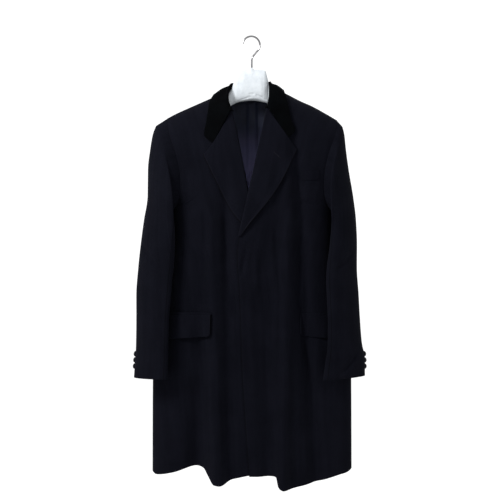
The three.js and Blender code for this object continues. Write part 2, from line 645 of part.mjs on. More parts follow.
function lapelPanel(handSide, rows, frontLift, collarTip, belly) {
  const curves = rowCurves(rows);
  const gorge = rows[0];
  const tipShare = (collarTip.x - gorge.rollX) / (gorge.edgeX - gorge.rollX);
  const straight = mix(gorge.rollDrop, gorge.edgeDrop, tipShare);
  return grid(lapelSections, lapelColumns, (v, u) => {
    const row = curves(v);
    const turn = clamp((u * lapelColumns) / rollColumns, 0, 1) * (Math.PI / 2);
    const flat = clamp((u * lapelColumns - rollColumns) / (lapelColumns - rollColumns), 0, 1);
    const hub = row.rollX + handSide * (rollOuter - 1);
    const x = flat > 0 ? mix(hub, row.edgeX, flat) : hub - handSide * rollOuter * Math.cos(turn);
    const bend = (collarTip.drop + 1 - straight) * (1 - ease(0, 0.22, v));
    const sag = bend * Math.sin((Math.PI / 2) * clamp(flat / tipShare, 0, 2));
    const drop = mix(row.rollDrop, row.edgeDrop, flat) + sag;
    const p = bodyPoint(x, drop, "front");
    const swell = belly * Math.sin(Math.PI * flat) * (1 - ease(250, 370, drop));
    p.y -= frontLift(x, drop) + rollOuter * Math.sin(turn) + swell;
    return p;
  });
}

const leftTip = collarRows[collarRows.length - 1];
const rightTip = collarRows[0];
const tipOf = (row) => ({ x: row.edgeX, drop: row.edgeDrop });
addPiece(
  "lapel_left",
  wallGeometry(lapelPanel(1, leftLapelRows, lapLift, tipOf(leftTip), 3), lapelWall),
  wool(),
);
addPiece(
  "lapel_right",
  wallGeometry(lapelPanel(-1, rightLapelRows, () => 0, tipOf(rightTip), 3), lapelWall, { flip: true }),
  wool(),
);

// ---------------------------------------------------------------- velvet collar
const collarSections = 27;
const collarColumns = 8;
const collarCentre = -3;
const rollBulge = 4.2; // half of how far the collar's fall stands out from its stand at the roll
const rollRise = 2.5;
const fallLift = 7; // of the fall's outer face over the body, at its edge
const fallBelly = 2.5;

const collarCurves = rowCurves(
  collarRows.map((row) => {
    const side = row.back ? 1 : -1;
    const below = (x, drop) => side * Math.sqrt(Math.max(0, drop - shoulderAt(x)));
    return { ...row, neckFall: below(row.neckX, row.neckDrop), edgeFall: below(row.edgeX, row.edgeDrop) };
  }),
);

// A point on the body, by its x and the root of its fall below the shoulder's ridge: in front if negative.
function overShoulder(x, fall, lift) {
  return bodyPoint(x, shoulderAt(x) + fall ** 2, fall < 0 ? "front" : "back", lift);
}

const collarGrid = grid(collarSections, collarColumns, (v, u) => {
  const row = collarCurves(v);
  const neck = overShoulder(row.neckX, row.neckFall, 0);
  neck.z = Math.max(neck.z, -row.neckDrop);
  const roll = point(row.rollX, row.rollY, row.rollDrop);
  const edge = overShoulder(row.edgeX, row.edgeFall, fallLift);
  const away = roll.clone().sub(point(collarCentre, 0, row.rollDrop)).setZ(0).normalize();
  const middle = roll.clone().lerp(edge, 0.5).addScaledVector(away, fallBelly);
  middle.z += fallBelly;
  const top = roll.clone().addScaledVector(away, rollBulge);
  top.z += rollRise;
  const after = roll.clone().addScaledVector(away, rollBulge * 2);
  after.z -= rollRise;
  const line = new THREE.CatmullRomCurve3([neck, roll, top, after, middle, edge], false, "centripetal");
  return line.getPoint(u);
});
addPiece("velvet_collar", wallGeometry(collarGrid, collarWall), velvet());

// ---------------------------------------------------------------- lining of the back, seen through the neck
const liningGrid = grid(9, 16, (v, u) => {
  const x = bodyCentre + mix(-liningHalf, liningHalf, u);
  const drop = mix(backTop(x) + liningStart, liningBottom, v);
  const p = bodyPoint(x, drop, "back", -clothWall - liningGap);
  const pleat = 1 - ease(pleatHalf - 4, pleatHalf + 4, Math.abs(x - bodyCentre));
  p.y -= pleatRise * pleat * (1 - 0.4 * v);
  return p;
});
addPiece("back_lining", wallGeometry(liningGrid, liningWall), satin());

// ---------------------------------------------------------------- pockets
function pocketPatch(rows, columns, at, lift) {
  return grid(rows, columns, (v, u) => {
    const { x, drop } = at(v, u);
    const p = bodyPoint(x, drop, "front", lift(v, u));
    p.y -= lapLift(x, drop);
    return p;
  });
}

for (const [hand, handSide, flap] of [
  ["right", -1, rightFlap],
  ["left", 1, leftFlap],
]) {
  const corner = 9; // radius of the flap's lower corners
  const across = (u) => mix(flap.fore, flap.hind, u);
  const length = Math.abs(flap.hind - flap.fore);
  const flapGrid = pocketPatch(
    5,
    13,
    (v, u) => {
      const fromEnd = Math.min(u, 1 - u) * length;
      const cut = fromEnd < corner ? corner - Math.sqrt(corner ** 2 - (corner - fromEnd) ** 2) : 0;
      const depth = mix(flap.foreDepth, flap.hindDepth, u) - cut;
      return { x: across(u), drop: flap.top + v * depth };
    },
    (v, u) => flapWall + 2.8 + 2 * v + 2.5 * v * Math.exp(-(((across(u) - flap.crease) / 9) ** 2)),
  );
  addPiece("flap_" + hand, wallGeometry(flapGrid, flapWall, { flip: handSide < 0 }), wool());
  const jetGrid = pocketPatch(
    1,
    12,
    (v, u) => ({ x: across(u), drop: flap.top - jetHeight - 1 + v * jetHeight }),
    () => 4.4,
  );
  addPiece("jet_" + hand, wallGeometry(jetGrid, 1.6, { flip: handSide < 0 }), wool());
}

const weltGrid = pocketPatch(
  2,
  6,
  (v, u) => ({
    x: mix(breastWelt.fore, breastWelt.hind, u),
    drop: breastWelt.top - 3 * u + v * breastWelt.height,
  }),
  () => 2.6,
);
addPiece("breast_welt", wallGeometry(weltGrid, 2), wool());

// ---------------------------------------------------------------- hanger and hook
const hangerSides = 12;
const hangerCurves = ["top", "bottom", "thick"].map((name) => column(hangerRows, "x", name));
const hangerPositions = [];
const hangerIndex = [];
const hangerXs = hangerRows.map((row) => row.x);
hangerXs.forEach((x) => {
  const [top, bottom, thick] = hangerCurves.map((curve) => curve(x));
  for (let k = 0; k < hangerSides; k += 1) {
    const angle = (k / hangerSides) * 2 * Math.PI;
    const round = (v) => Math.sign(v) * Math.abs(v) ** 0.75;
    const drop = (top + bottom) / 2 - ((bottom - top) / 2) * round(Math.cos(angle));
    hangerPositions.push(x, thick * round(Math.sin(angle)), -drop);
  }
});
for (const end of [0, hangerXs.length - 1]) {
  const [top, bottom] = hangerCurves.map((curve) => curve(hangerXs[end]));
  hangerPositions.push(hangerXs[end] + (end ? 2 : -2), 0, -(top + bottom) / 2);
}
const hangerPoint = (i, k) => i * hangerSides + (k % hangerSides);
const hangerTips = hangerXs.length * hangerSides;
for (let k = 0; k < hangerSides; k += 1) {
  for (let i = 0; i < hangerXs.length - 1; i += 1) {
    const [a, b] = [hangerPoint(i, k), hangerPoint(i + 1, k)];
    const [c, d] = [hangerPoint(i + 1, k + 1), hangerPoint(i, k + 1)];
    hangerIndex.push(a, b, c, a, c, d);
  }
  const last = hangerXs.length - 1;
  hangerIndex.push(hangerTips, hangerPoint(0, k), hangerPoint(0, k + 1));
  hangerIndex.push(hangerTips + 1, hangerPoint(last, k + 1), hangerPoint(last, k));
}
const hangerGeometry = new THREE.BufferGeometry();
hangerGeometry.setAttribute("position", new THREE.Float32BufferAttribute(hangerPositions, 3));
hangerGeometry.setIndex(hangerIndex);
hangerGeometry.computeVertexNormals();
addPiece("hanger_body", hangerGeometry, wrap());

// The hook: a tip that turns up, a crown over the rail, and a neck that bends back to the stem.
const hookHub = hookRadius - hookWire / 2 - crownRise;
const hookPoints = [];
for (let degrees = 170; degrees >= -35; degrees -= 20.5) {
  const a = THREE.MathUtils.degToRad(degrees);
  hookPoints.push(point(hookRadius * Math.cos(a), 0, hookHub - hookRadius * Math.sin(a)));
}
hookPoints.push(point(13.4, 0, 27), point(7.8, 0, 34), point(2.6, 0, 41), point(1.4, 0, 50), point(1.4, 0, 67.9));
const hookShape = new THREE.Shape().absarc(0, 0, hookWire / 2, 0, 2 * Math.PI);
const hookPath = new THREE.CatmullRomCurve3(hookPoints, false, "centripetal");
const hookGeometry = new THREE.ExtrudeGeometry(hookShape, {
  steps: 32,
  curveSegments: 8,
  bevelEnabled: false,
  extrudePath: hookPath,
});
addPiece("hook", hookGeometry, steel());

export default coat;
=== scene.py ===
import math

import bmesh
import bpy
import numpy as np
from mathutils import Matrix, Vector


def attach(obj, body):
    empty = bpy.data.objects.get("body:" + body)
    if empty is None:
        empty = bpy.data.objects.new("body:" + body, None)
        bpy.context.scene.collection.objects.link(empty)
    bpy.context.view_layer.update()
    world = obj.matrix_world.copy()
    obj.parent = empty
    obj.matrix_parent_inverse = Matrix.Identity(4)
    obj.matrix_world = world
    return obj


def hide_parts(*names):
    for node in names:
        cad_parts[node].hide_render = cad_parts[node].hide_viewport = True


# A dark chesterfield coat with a velvet collar on a wrapped hanger, closed, seen straight from the front.
# The shapes are worked out in millimetres. drop is the distance below a line that lies crownRise under the inside of
# the hook's crown, the coat's front faces -Y and the wearer's left is +X.

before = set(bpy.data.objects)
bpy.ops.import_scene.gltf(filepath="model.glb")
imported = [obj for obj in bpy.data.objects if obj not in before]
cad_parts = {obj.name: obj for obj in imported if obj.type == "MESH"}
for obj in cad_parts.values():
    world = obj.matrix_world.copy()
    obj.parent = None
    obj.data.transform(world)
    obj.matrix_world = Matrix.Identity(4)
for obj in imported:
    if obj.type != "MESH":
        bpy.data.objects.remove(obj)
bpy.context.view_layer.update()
mm = 0.001
crownRise = 12.5
piecesBySlot = {}


def ease(low, high, value):
    t = np.clip((value - low) / (high - low), 0, 1)
    return t * t * (3 - 2 * t)


def mix(a, b, t):
    return a + (b - a) * t


def bell(distance, width):
    return np.exp(-((distance / width) ** 2))


# A smooth curve through two columns of a table, with no overshoot between its rows.
def curve(at, value):
    at, value = np.asarray(at, float), np.asarray(value, float)
    rise = np.diff(value) / np.diff(at)
    before, after = np.r_[rise[:1], rise], np.r_[rise, rise[-1:]]
    product, total = before * after, before + after
    slope = np.where(product > 0, 2 * product / np.where(total == 0, 1, total), 0)

    def read(v):
        x = np.clip(v, at[0], at[-1])
        i = np.clip(np.searchsorted(at, x, side="right") - 1, 0, len(at) - 2)
        span = at[i + 1] - at[i]
        t = (x - at[i]) / span
        t2, t3 = t * t, t * t * t
        return (
            (2 * t3 - 3 * t2 + 1) * value[i]
            + (t3 - 2 * t2 + t) * span * slope[i]
            + (3 * t2 - 2 * t3) * value[i + 1]
            + (t3 - t2) * span * slope[i + 1]
        )

    return read


# How far a crease pushes the cloth at a and b. It runs between two places and fades over shares of its length.
def creasePush(crease, a, b, starts, ends):
    fromA, fromB, toA, toB, push, width = crease
    length = math.hypot(toA - fromA, toB - fromB)
    t = ((a - fromA) * (toA - fromA) + (b - fromB) * (toB - fromB)) / length**2
    off = ((a - fromA) * (toB - fromB) - (b - fromB) * (toA - fromA)) / length
    return push * ease(*starts, t) * (1 - ease(*ends, t)) * bell(off, width)


# The columns of a table, each read by the row's share of the table's length.
def rowCurves(table):
    at = np.linspace(0, 1, len(next(iter(table.values()))))
    return {name: curve(at, value) for name, value in table.items()}


def shares(high, wide):
    return np.meshgrid(np.linspace(0, 1, high + 1), np.linspace(0, 1, wide + 1), indexing="ij")


def points(x, y, drop):
    return np.stack(np.broadcast_arrays(x, y, -np.asarray(drop, float)), axis=-1)


def unit(vectors):
    return vectors / np.maximum(np.linalg.norm(vectors, axis=-1, keepdims=True), 1e-9)


def gridNormals(grid, flip):
    down, across = np.gradient(grid, axis=0), np.gradient(grid, axis=1)
    normals = unit(np.cross(down, across))
    return -normals if flip else normals


def arcLengths(grid, axis):
    steps = np.linalg.norm(np.diff(grid, axis=axis), axis=-1)
    return np.concatenate([np.zeros_like(np.take(steps, [0], axis)), np.cumsum(steps, axis)], axis)


# One closed wall of cloth from the grid of its outer face, with rounded rims. The piece's UV is the distance in
# metres along and down the cloth from its first corner, and "rim" holds the distance from the nearer side.
def wall(name, grid, thick, flip=False, keep=None):
    high, wide = grid.shape[:2]
    normals = gridNormals(grid, flip)
    if keep:
        grid = keep(grid)
    inner = grid - normals * thick
    if keep:
        inner = keep(inner)
    across, down = arcLengths(grid, 1), arcLengths(grid, 0)
    rim = np.minimum(across, across[:, -1:] - across)
    rows, columns = np.arange(high), np.arange(wide)
    loopRow = np.r_[0 * columns, rows[1:], 0 * columns[1:] + high - 1, rows[-2:0:-1]]
    loopColumn = np.r_[columns, 0 * rows[1:] + wide - 1, columns[-2::-1], 0 * rows[-2:0:-1]]
    near = grid[np.clip(loopRow, 1, high - 2), np.clip(loopColumn, 1, wide - 2)]
    outward = unit(grid[loopRow, loopColumn] - near)
    start, end = grid[loopRow, loopColumn], inner[loopRow, loopColumn]
    middle, half = (start + end) / 2, (start - end) / 2
    bulge = []
    for angle in (45, 90, 135):
        turn = math.radians(angle)
        ring = middle + half * math.cos(turn) + outward * np.linalg.norm(half, axis=-1, keepdims=True) * math.sin(turn)
        bulge.append(keep(ring) if keep else ring)
    vertices = np.concatenate([grid.reshape(-1, 3), inner.reshape(-1, 3), *bulge]) * mm
    index = np.arange(high * wide).reshape(high, wide)
    quads = np.stack([index[:-1, :-1], index[1:, :-1], index[1:, 1:], index[:-1, 1:]], axis=-1).reshape(-1, 4)
    loopCount = len(loopRow)
    loops = [index[loopRow, loopColumn]]
    loops += [2 * high * wide + k * loopCount + np.arange(loopCount) for k in range(3)]
    loops.append(loops[0] + high * wide)
    strips = [np.stack([a, b, np.roll(b, -1), np.roll(a, -1)], axis=-1) for a, b in zip(loops[:-1], loops[1:])]
    faces = np.concatenate([quads, quads[:, ::-1] + high * wide, *strips])
    if flip:
        faces = faces[:, ::-1]
    mesh = bpy.data.meshes.new(name)
    mesh.from_pydata(vertices, [], faces.tolist())
    outer = np.zeros(len(quads), int)
    mesh.polygons.foreach_set("material_index", np.r_[outer, outer + 1, np.zeros(4 * loopCount, int)])
    mesh.polygons.foreach_set("use_smooth", np.ones(len(faces), bool))

    def spread(values):
        flat = values.reshape(-1)
        return np.concatenate([flat, flat, *[values[loopRow, loopColumn]] * 3]) * mm

    uv = np.stack([spread(across), spread(down)], axis=-1)
    corner = np.zeros(len(mesh.loops), np.int32)
    mesh.loops.foreach_get("vertex_index", corner)
    mesh.uv_layers.new(name="cloth").data.foreach_set("uv", uv[corner].reshape(-1))
    mesh.attributes.new("rim", "FLOAT", "POINT").data.foreach_set("value", spread(rim).astype(np.float32))
    return showMesh(name, mesh)


def placed(name, data):
    thing = bpy.data.objects.new(name, data)
    bpy.context.scene.collection.objects.link(thing)
    return thing


def showMesh(name, mesh):
    build = bmesh.new()
    build.from_mesh(mesh)
    bmesh.ops.translate(build, verts=build.verts, vec=(0, 0, -crownRise * mm))
    bmesh.ops.recalc_face_normals(build, faces=build.faces)
    build.to_mesh(mesh)
    build.free()
    mesh.update()
    piece = placed(name, mesh)
    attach(piece, "root")
    return piece


# The body's form, which every piece of cloth on it is worked out from.
bodyForm = {
    "centre": 2, "sharpness": 0.35, "cap": 66, "capShare": 0.2,
    "drop": [90, 213, 264, 316, 368, 446, 530, 628, 732, 888, 1140],
    "half": [243, 242, 238, 229, 221, 210, 209, 222, 241, 262, 263],
    "front": [54, 56, 59, 62, 64, 66, 66, 62, 58, 56, 56],
    "back": [48, 50, 52, 54, 55, 56, 56, 55, 54, 54, 56],
    "shoulderX": [-236, -199, -151.5, -127.7, -61, 0, 61, 134, 158, 197.5, 216, 236],
    "shoulderDrop": [210, 190.6, 169.4, 159, 130, 107, 124, 159, 169.4, 190.6, 201.2, 213],
    "armholeDrop": [207, 234, 256, 307, 356, 394, 425, 446],
    "armholeX": [226, 223, 217, 200, 191, 190, 196, 211],
    "backArmholeEase": 0.5, "cloth": 2, "seamOverlap": 0.4,
}
# Folds of the cloth: fromX, fromDrop, toX, toDrop, push, the share of push at the start, and width.
bodyFolds = {
    "front": [
        (-112, 430, -86, 1160, 21, 0.25, 24),
        (-124, 520, -143, 1120, -24, 0.15, 24), (-66, 440, -56, 1150, -11, 0.9, 17),
        (-200, 700, -212, 1150, 8, 0, 26), (20, 560, 40, 1150, -7, 0.6, 22),
        (44, 470, 44, 820, -6, 0.8, 15), (100, 430, 82, 1170, 22, 0.35, 20),
        (118, 330, 170, 1160, -17, 0.75, 17), (212, 860, 222, 1150, 7, 0, 26),
    ],
    "back": [
        (-168, 420, -186, 1120, 16, 0.25, 26),
        (-112, 480, -122, 1110, -14, 0.3, 24), (-62, 560, -66, 1110, 12, 0.1, 22),
        (54, 620, 62, 1110, 13, 0.1, 24), (106, 460, 122, 1110, -15, 0.35, 25),
        (166, 430, 192, 1120, 15, 0.2, 28),
    ],
}
# Shares of its length over which a fold starts, and a crease starts and ends.
foldStart, creaseStart, creaseEnd = (-0.25, 0.1), (-0.15, 0.25), (0.75, 1.15)
# Soft creases laid over the folds: fromX, fromDrop, toX, toDrop, push and width.
bodyCreases = {
    "front": [
        (121, 337, 134, 467, -5, 5), (134, 467, 127, 550, -5, 5),
        (127, 550, 124, 680, -5, 5), (124, 680, 137, 776, -5, 5),
        (137, 776, 158, 888, -5, 6), (158, 888, 173, 1044, -4, 6),
        (136, 560, 134, 690, 3, 6), (-10, 537, -27, 615, -5, 5),
        (12, 566, 12, 662, 4, 9), (-122, 440, -120, 560, -5, 7),
        (-120, 560, -128, 700, -4, 8), (-104, 470, -104, 610, 4, 8),
        (-68, 445, -62, 600, -7, 9), (-62, 600, -40, 735, -6, 9),
        (62, 480, 70, 640, -5, 8), (88, 470, 92, 640, 3, 8),
        (-165, 330, -168, 470, -3, 8),
    ],
    "back": [
        (-30, 430, 30, 520, 3, 14), (-180, 470, -120, 700, -3, 12),
        (180, 480, 116, 690, -3, 12),
    ],
}

centre = bodyForm["centre"]
halfAt = curve(bodyForm["drop"], bodyForm["half"])
fullAt = {side: curve(bodyForm["drop"], bodyForm[side]) for side in ("front", "back")}
shoulderAt = curve(bodyForm["shoulderX"], bodyForm["shoulderDrop"])
armholeAt = curve(bodyForm["armholeDrop"], bodyForm["armholeX"])
armholeStart, armpit = bodyForm["armholeX"][0], bodyForm["armholeX"][-1]
armholeTop, armpitDrop = bodyForm["armholeDrop"][0], bodyForm["armholeDrop"][-1]


def armholeX(drop, side):
    x = armholeAt(drop)
    if side == "front":
        return x
    straight = mix(armholeStart, armpit, (drop - armholeTop) / (armpitDrop - armholeTop))
    return mix(x, straight, bodyForm["backArmholeEase"])


def shoulderEnd(hand):
    return centre + hand * (armholeStart - centre)


def foldPush(side, x, drop):
    total = 0
    for fromX, fromDrop, toX, toDrop, push, atStart, width in bodyFolds[side]:
        t = (drop - fromDrop) / (toDrop - fromDrop)
        strength = push * mix(atStart, 1, np.clip(t, 0, 1)) * ease(*foldStart, t)
        total = total + strength * bell(x - mix(fromX, toX, t), width)
    for crease in bodyCreases[side]:
        total = total + creasePush(crease, x, drop, creaseStart, creaseEnd)
    return total


# How far the front or the back stands from the plane of the shoulder seams.
def depthAt(x, drop, side):
    share = np.clip((x - centre) / halfAt(drop), -1, 1)
    section = (1 - share**2) ** bodyForm["sharpness"]
    down = np.clip((drop - shoulderAt(x)) / bodyForm["cap"], 0, 1)
    cap = np.sqrt(1 - (1 - down) ** 2)
    return (fullAt[side](drop) + foldPush(side, x, drop)) * section * cap


def bodyPoint(x, drop, side, lift=0.0):
    sign = -1 if side == "front" else 1
    at = lambda px, pd: points(px, sign * depthAt(px, pd, side), pd)
    here = at(x, drop)
    if np.isscalar(lift) and lift == 0:
        return here
    across = at(x + 1, drop) - at(x - 1, drop)
    down = at(x, drop + 1.5) - at(x, np.maximum(drop - 1.5, shoulderAt(x)))
    normal = unit(np.cross(down, across))
    normal = np.where(normal[..., 1:2] * sign < 0, -normal, normal)
    return here + normal * np.asarray(lift)[..., None]


frontLap = {"rise": 9, "rises": (300, 380), "fall": 5, "falls": (540, 640), "ends": (36, 78)}


# Where the left front laps over the right one, it stands forward of it, most over the crossed lapels.
def lapLift(x, drop):
    over = frontLap["rise"] * ease(*frontLap["rises"], drop) - frontLap["fall"] * ease(*frontLap["falls"], drop)
    return over * (1 - ease(*frontLap["ends"], x))


def sideEdge(drop, side):
    return np.where(drop < armpitDrop, armholeX(drop, side) - centre, halfAt(drop))


def rowDrop(v, top, hem):
    capShare, cap = bodyForm["capShare"], bodyForm["cap"]
    rounding = top + cap * (1 - np.cos(np.clip(v / capShare, 0, 1) * math.pi / 2))
    return np.where(v < capShare, rounding, mix(top + cap, hem, (v - capShare) / (1 - capShare)))


def topX(fromX, toX, share):
    half = halfAt(shoulderAt(toX))
    angle = lambda x: np.arcsin((x - centre) / half)
    return centre + half * np.sin(mix(angle(fromX), angle(toX), share))


# The fronts and backs meet at the plane of the side seams, each reaching half of the overlap past it.
def heldAt(side):
    past = bodyForm["seamOverlap"] / 2

    def keep(grid):
        kept = grid.copy()
        kept[..., 1] = np.minimum(kept[..., 1], past) if side == "front" else np.maximum(kept[..., 1], -past)
        return kept

    return keep


print("stage: body form")

# The fronts.
leftFront = {
    "hand": 1,
    "edgeDrop": [136, 158, 181, 235, 335, 435, 514, 568, 680, 805, 896, 1022, 1140],
    "edgeX": [70, 53, 42.5, 32, 10, -12, -30.5, -36, -30, -25.5, -22, -13.5, -5],
    "hemX": [-10, 28, 63, 70, 84, 106, 168, 230, 250, 265],
    "hemDrop": [1137, 1138, 1137, 1166, 1172, 1168, 1154, 1136, 1132, 1124],
    "lap": 1, "rows": 150, "columns": 96, "flat": (0.36, 1.06), "area": 0.27,
}
rightFront = {
    "hand": -1,
    "edgeDrop": [142, 168, 188, 235, 335, 435, 508, 560, 680, 1140],
    "edgeX": [-70, -61, -53, -42, -22.5, -3, 11, 25, 32, 40],
    "hemX": [-261, -250, -206, -143, -126, -112, -98, -80, -50, -10, 45],
    "hemDrop": [1131, 1137, 1129, 1113, 1117, 1138, 1158, 1160, 1146, 1136, 1128],
    "lap": 0, "rows": 150, "columns": 96, "flat": (0.36, 1.05), "area": 0.27,
}


def frontGrid(front):
    hand = front["hand"]
    edgeAt = curve(front["edgeDrop"], front["edgeX"])
    hemAt = curve(front["hemX"], front["hemDrop"])
    neckX, shoulderX = front["edgeX"][0], shoulderEnd(hand)
    hemInner = front["edgeX"][-1]
    hemOuter = hand * bodyForm["half"][-1] + centre
    angleAt = lambda x, drop: np.arcsin(np.clip((x - centre) / halfAt(drop), -1, 1))
    v, u = shares(front["rows"], front["columns"])
    innerDrop = rowDrop(v, shoulderAt(neckX), hemAt(hemInner))
    outerDrop = rowDrop(v, shoulderAt(shoulderX), hemAt(hemOuter))
    innerAngle = angleAt(edgeAt(innerDrop), innerDrop)
    outerAngle = angleAt(centre + hand * sideEdge(outerDrop, "front"), outerDrop)
    angle = mix(innerAngle, outerAngle, u)
    nearX = centre + halfAt(mix(innerDrop, outerDrop, u)) * np.sin(angle)
    drop = rowDrop(v, shoulderAt(topX(neckX, shoulderX, u)), hemAt(nearX))
    x = centre + halfAt(drop) * np.sin(angle)
    grid = bodyPoint(x, drop, "front")
    grid[..., 1] -= front["lap"] * lapLift(x, drop)
    return grid


for name, front in (("left", leftFront), ("right", rightFront)):
    piece = wall("coatFront_" + name, frontGrid(front), bodyForm["cloth"], front["hand"] < 0, heldAt("front"))
    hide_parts("front_" + name)
    piecesBySlot.setdefault("wool", []).append(piece)
print("stage: fronts")

# The backs, with the lapped centre vent.
back = {
    "hemX": [-262, -120, 0, 120, 266],
    "hemDrop": [1120, 1098, 1100, 1102, 1114],
    "neckX": 68, "neckDip": 36, "ventLap": 38, "ventOpens": (660, 695), "ventInset": 3.6,
    "insetStarts": (570, 650), "insetEnds": (2, 34), "rows": 120, "columns": 64,
    "flat": (0.29, 1.02), "area": 0.25,
}


def backTop(x):
    return shoulderAt(x) + back["neckDip"] * np.maximum(0, 1 - (x / back["neckX"]) ** 2)


def backGrid(hand, lap):
    hemAt = curve(back["hemX"], back["hemDrop"])
    v, u = shares(back["rows"], back["columns"])
    columnX = topX(centre, shoulderEnd(hand), u)
    drop = rowDrop(v, backTop(columnX), hemAt(columnX))
    opened = ease(*back["ventOpens"], drop)
    start = np.arcsin(-hand * (bodyForm["seamOverlap"] / 2 + lap * opened) / halfAt(drop))
    end = np.arcsin(np.clip(sideEdge(drop, "back") / halfAt(drop), 0, 1)) * hand
    x = centre + halfAt(drop) * np.sin(mix(start, end, u))
    grid = bodyPoint(x, drop, "back")
    if lap:
        nearVent = 1 - ease(*back["insetEnds"], hand * (x - centre))
        grid[..., 1] -= back["ventInset"] * nearVent * ease(*back["insetStarts"], drop)
    return grid


for name, hand, lap in (("left", 1, 0), ("right", -1, back["ventLap"])):
    piece = wall("coatBack_" + name, backGrid(hand, lap), bodyForm["cloth"], hand > 0, heldAt("back"))
    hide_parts("back_" + name)
    piecesBySlot["wool"].append(piece)
print("stage: backs")

# The sleeves, each cut in two.
rightSleeve = {
    "outerX": [-252, -260, -267.5, -273, -273.5, -283, -290.5, -297, -301.5, -301, -301.5, -304, -306.5],
    "outerDrop": [222, 243, 286, 338, 407, 472, 532, 597, 667, 732, 797, 841, 882],
    "outerY": [1, 1, 0, -2, -6, -10, -15, -20, -26, -30, -33, -35, -36],
    "innerX": [-212, -202, -198.5, -198, -198.5, -199.5, -201, -205, -209, -213, -214, -215, -217],
    "innerDrop": [463, 481, 500, 522, 546, 570, 596, 630, 684, 738, 799, 841, 882],
    "innerY": [-22, -48, -57, -60, -60, -61, -62, -62, -67, -72, -74, -75, -76],
    "thick": [46, 44, 42, 41, 39, 36, 33, 30, 27, 25, 24, 24, 24],
    "lean": [20, 19, 15, 10, 5, 1, 0, 0, 0, 0, 0, 0, 0],
}
leftSleeve = {
    "outerX": [241, 246, 250.5, 258, 269, 276, 278.2, 277.5, 281.5, 284.6, 289, 296.5, 297],
    "outerDrop": [224, 244, 286, 342, 410, 472, 532, 597, 667, 732, 790, 832, 877],
    "outerY": [1, 1, 0, -2, -6, -10, -15, -20, -26, -30, -32, -34, -36],
    "innerX": [215.5, 211, 209, 206, 203, 199, 195, 193, 195, 197, 196, 190, 184],
    "innerDrop": [462, 483, 502, 522, 546, 570, 596, 630, 684, 738, 799, 843, 884],
    "innerY": [-12, -40, -46, -46, -52, -59, -65, -71, -75, -78, -80, -82, -84],
    "thick": [46, 45, 44, 42, 39, 35, 31, 28, 26, 24, 23, 23, 24],
    "lean": [20, 19, 15, 10, 5, 1, 0, 0, 0, 0, 0, 0, 0],
}
sleeve = {
    "foreSeam": 2.5, "hindSeam": -0.62, "seamAngle": 0.002, "armholeGap": -0.8, "headShare": 0.055,
    "length": 650, "radius": 45, "creaseStart": (-0.15, 0.3), "creaseEnd": (0.7, 1.15), "rows": 150,
    "topColumns": 60, "underColumns": 36, "topFlat": (0.2, 0.66), "topArea": 0.08,
    "underFlat": (0.15, 0.6), "underArea": 0.064,
}
# Creases on the sleeves: fromShare of the length, fromAngle, toShare, toAngle, push and width.
sleeveCreases = {
    "right": [(0.5, 0.5, 0.55, 1.8, -2.5, 7), (0.58, 0.3, 0.6, 1.5, -2, 7)],
    "left": [(0.885, 0.9, 0.975, 1.69, -4, 6), (0.52, 0.8, 0.56, 2.0, -2.5, 7)],
}


def armholeLoop(hand, angle):
    top = shoulderAt(shoulderEnd(hand))
    drop = mix(top, armpitDrop, (1 - np.cos(angle)) / 2)
    grids = [bodyPoint(centre + hand * (armholeX(drop, side) - centre), drop, side) for side in ("front", "back")]
    grid = np.where((np.sin(angle) >= 0)[..., None], grids[0], grids[1])
    grid[..., 0] += hand * sleeve["armholeGap"]
    return grid


def sleeveRing(hand, curves, share, angle):
    row = {name: read(share) for name, read in curves.items()}
    toOuter = (1 + np.cos(angle)) / 2
    lean = np.where(np.sin(angle) > 0, row["lean"], row["lean"] * bodyForm["backArmholeEase"])
    x = mix(row["innerX"], row["outerX"], toOuter) - hand * lean * np.sin(angle) ** 2
    y = mix(row["innerY"], row["outerY"], toOuter) - row["thick"] * np.sin(angle)
    return points(x, y, mix(row["innerDrop"], row["outerDrop"], toOuter))


def sleeveGrid(name, hand, table, fromAngle, toAngle, columns):
    curves = rowCurves(table)
    v, u = shares(sleeve["rows"], columns)
    angle = mix(fromAngle, toAngle, u)
    share = np.clip((v - sleeve["headShare"]) / (1 - sleeve["headShare"]), 0, 1)
    ring = sleeveRing(hand, curves, share, angle)
    head = np.clip(v / sleeve["headShare"], 0, 1)[..., None]
    grid = mix(armholeLoop(hand, angle), ring, head)
    push = 0
    length, radius = sleeve["length"], sleeve["radius"]
    for crease in sleeveCreases[name]:
        crease = np.multiply(crease, (length, radius, length, radius, 1, 1))
        push = push + creasePush(crease, share * length, angle * radius, sleeve["creaseStart"], sleeve["creaseEnd"])
    return grid + gridNormals(grid, hand > 0) * (push * np.ones_like(v))[..., None]


for name, hand, table in (("right", -1, rightSleeve), ("left", 1, leftSleeve)):
    fore, hind, gap = sleeve["foreSeam"], sleeve["hindSeam"], sleeve["seamAngle"]
    for part, start, end in (("top", hind + gap, fore - gap), ("under", fore + gap, hind + 2 * math.pi - gap)):
        grid = sleeveGrid(name, hand, table, start, end, sleeve[part + "Columns"])
        piece = wall(f"{part}Sleeve_{name}", grid, bodyForm["cloth"], hand > 0)
        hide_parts(f"{part}_sleeve_{name}")
        sleeve[part + "Flat"]
        sleeve[part + "Area"]
        piecesBySlot["wool"].append(piece)
print("stage: sleeves")

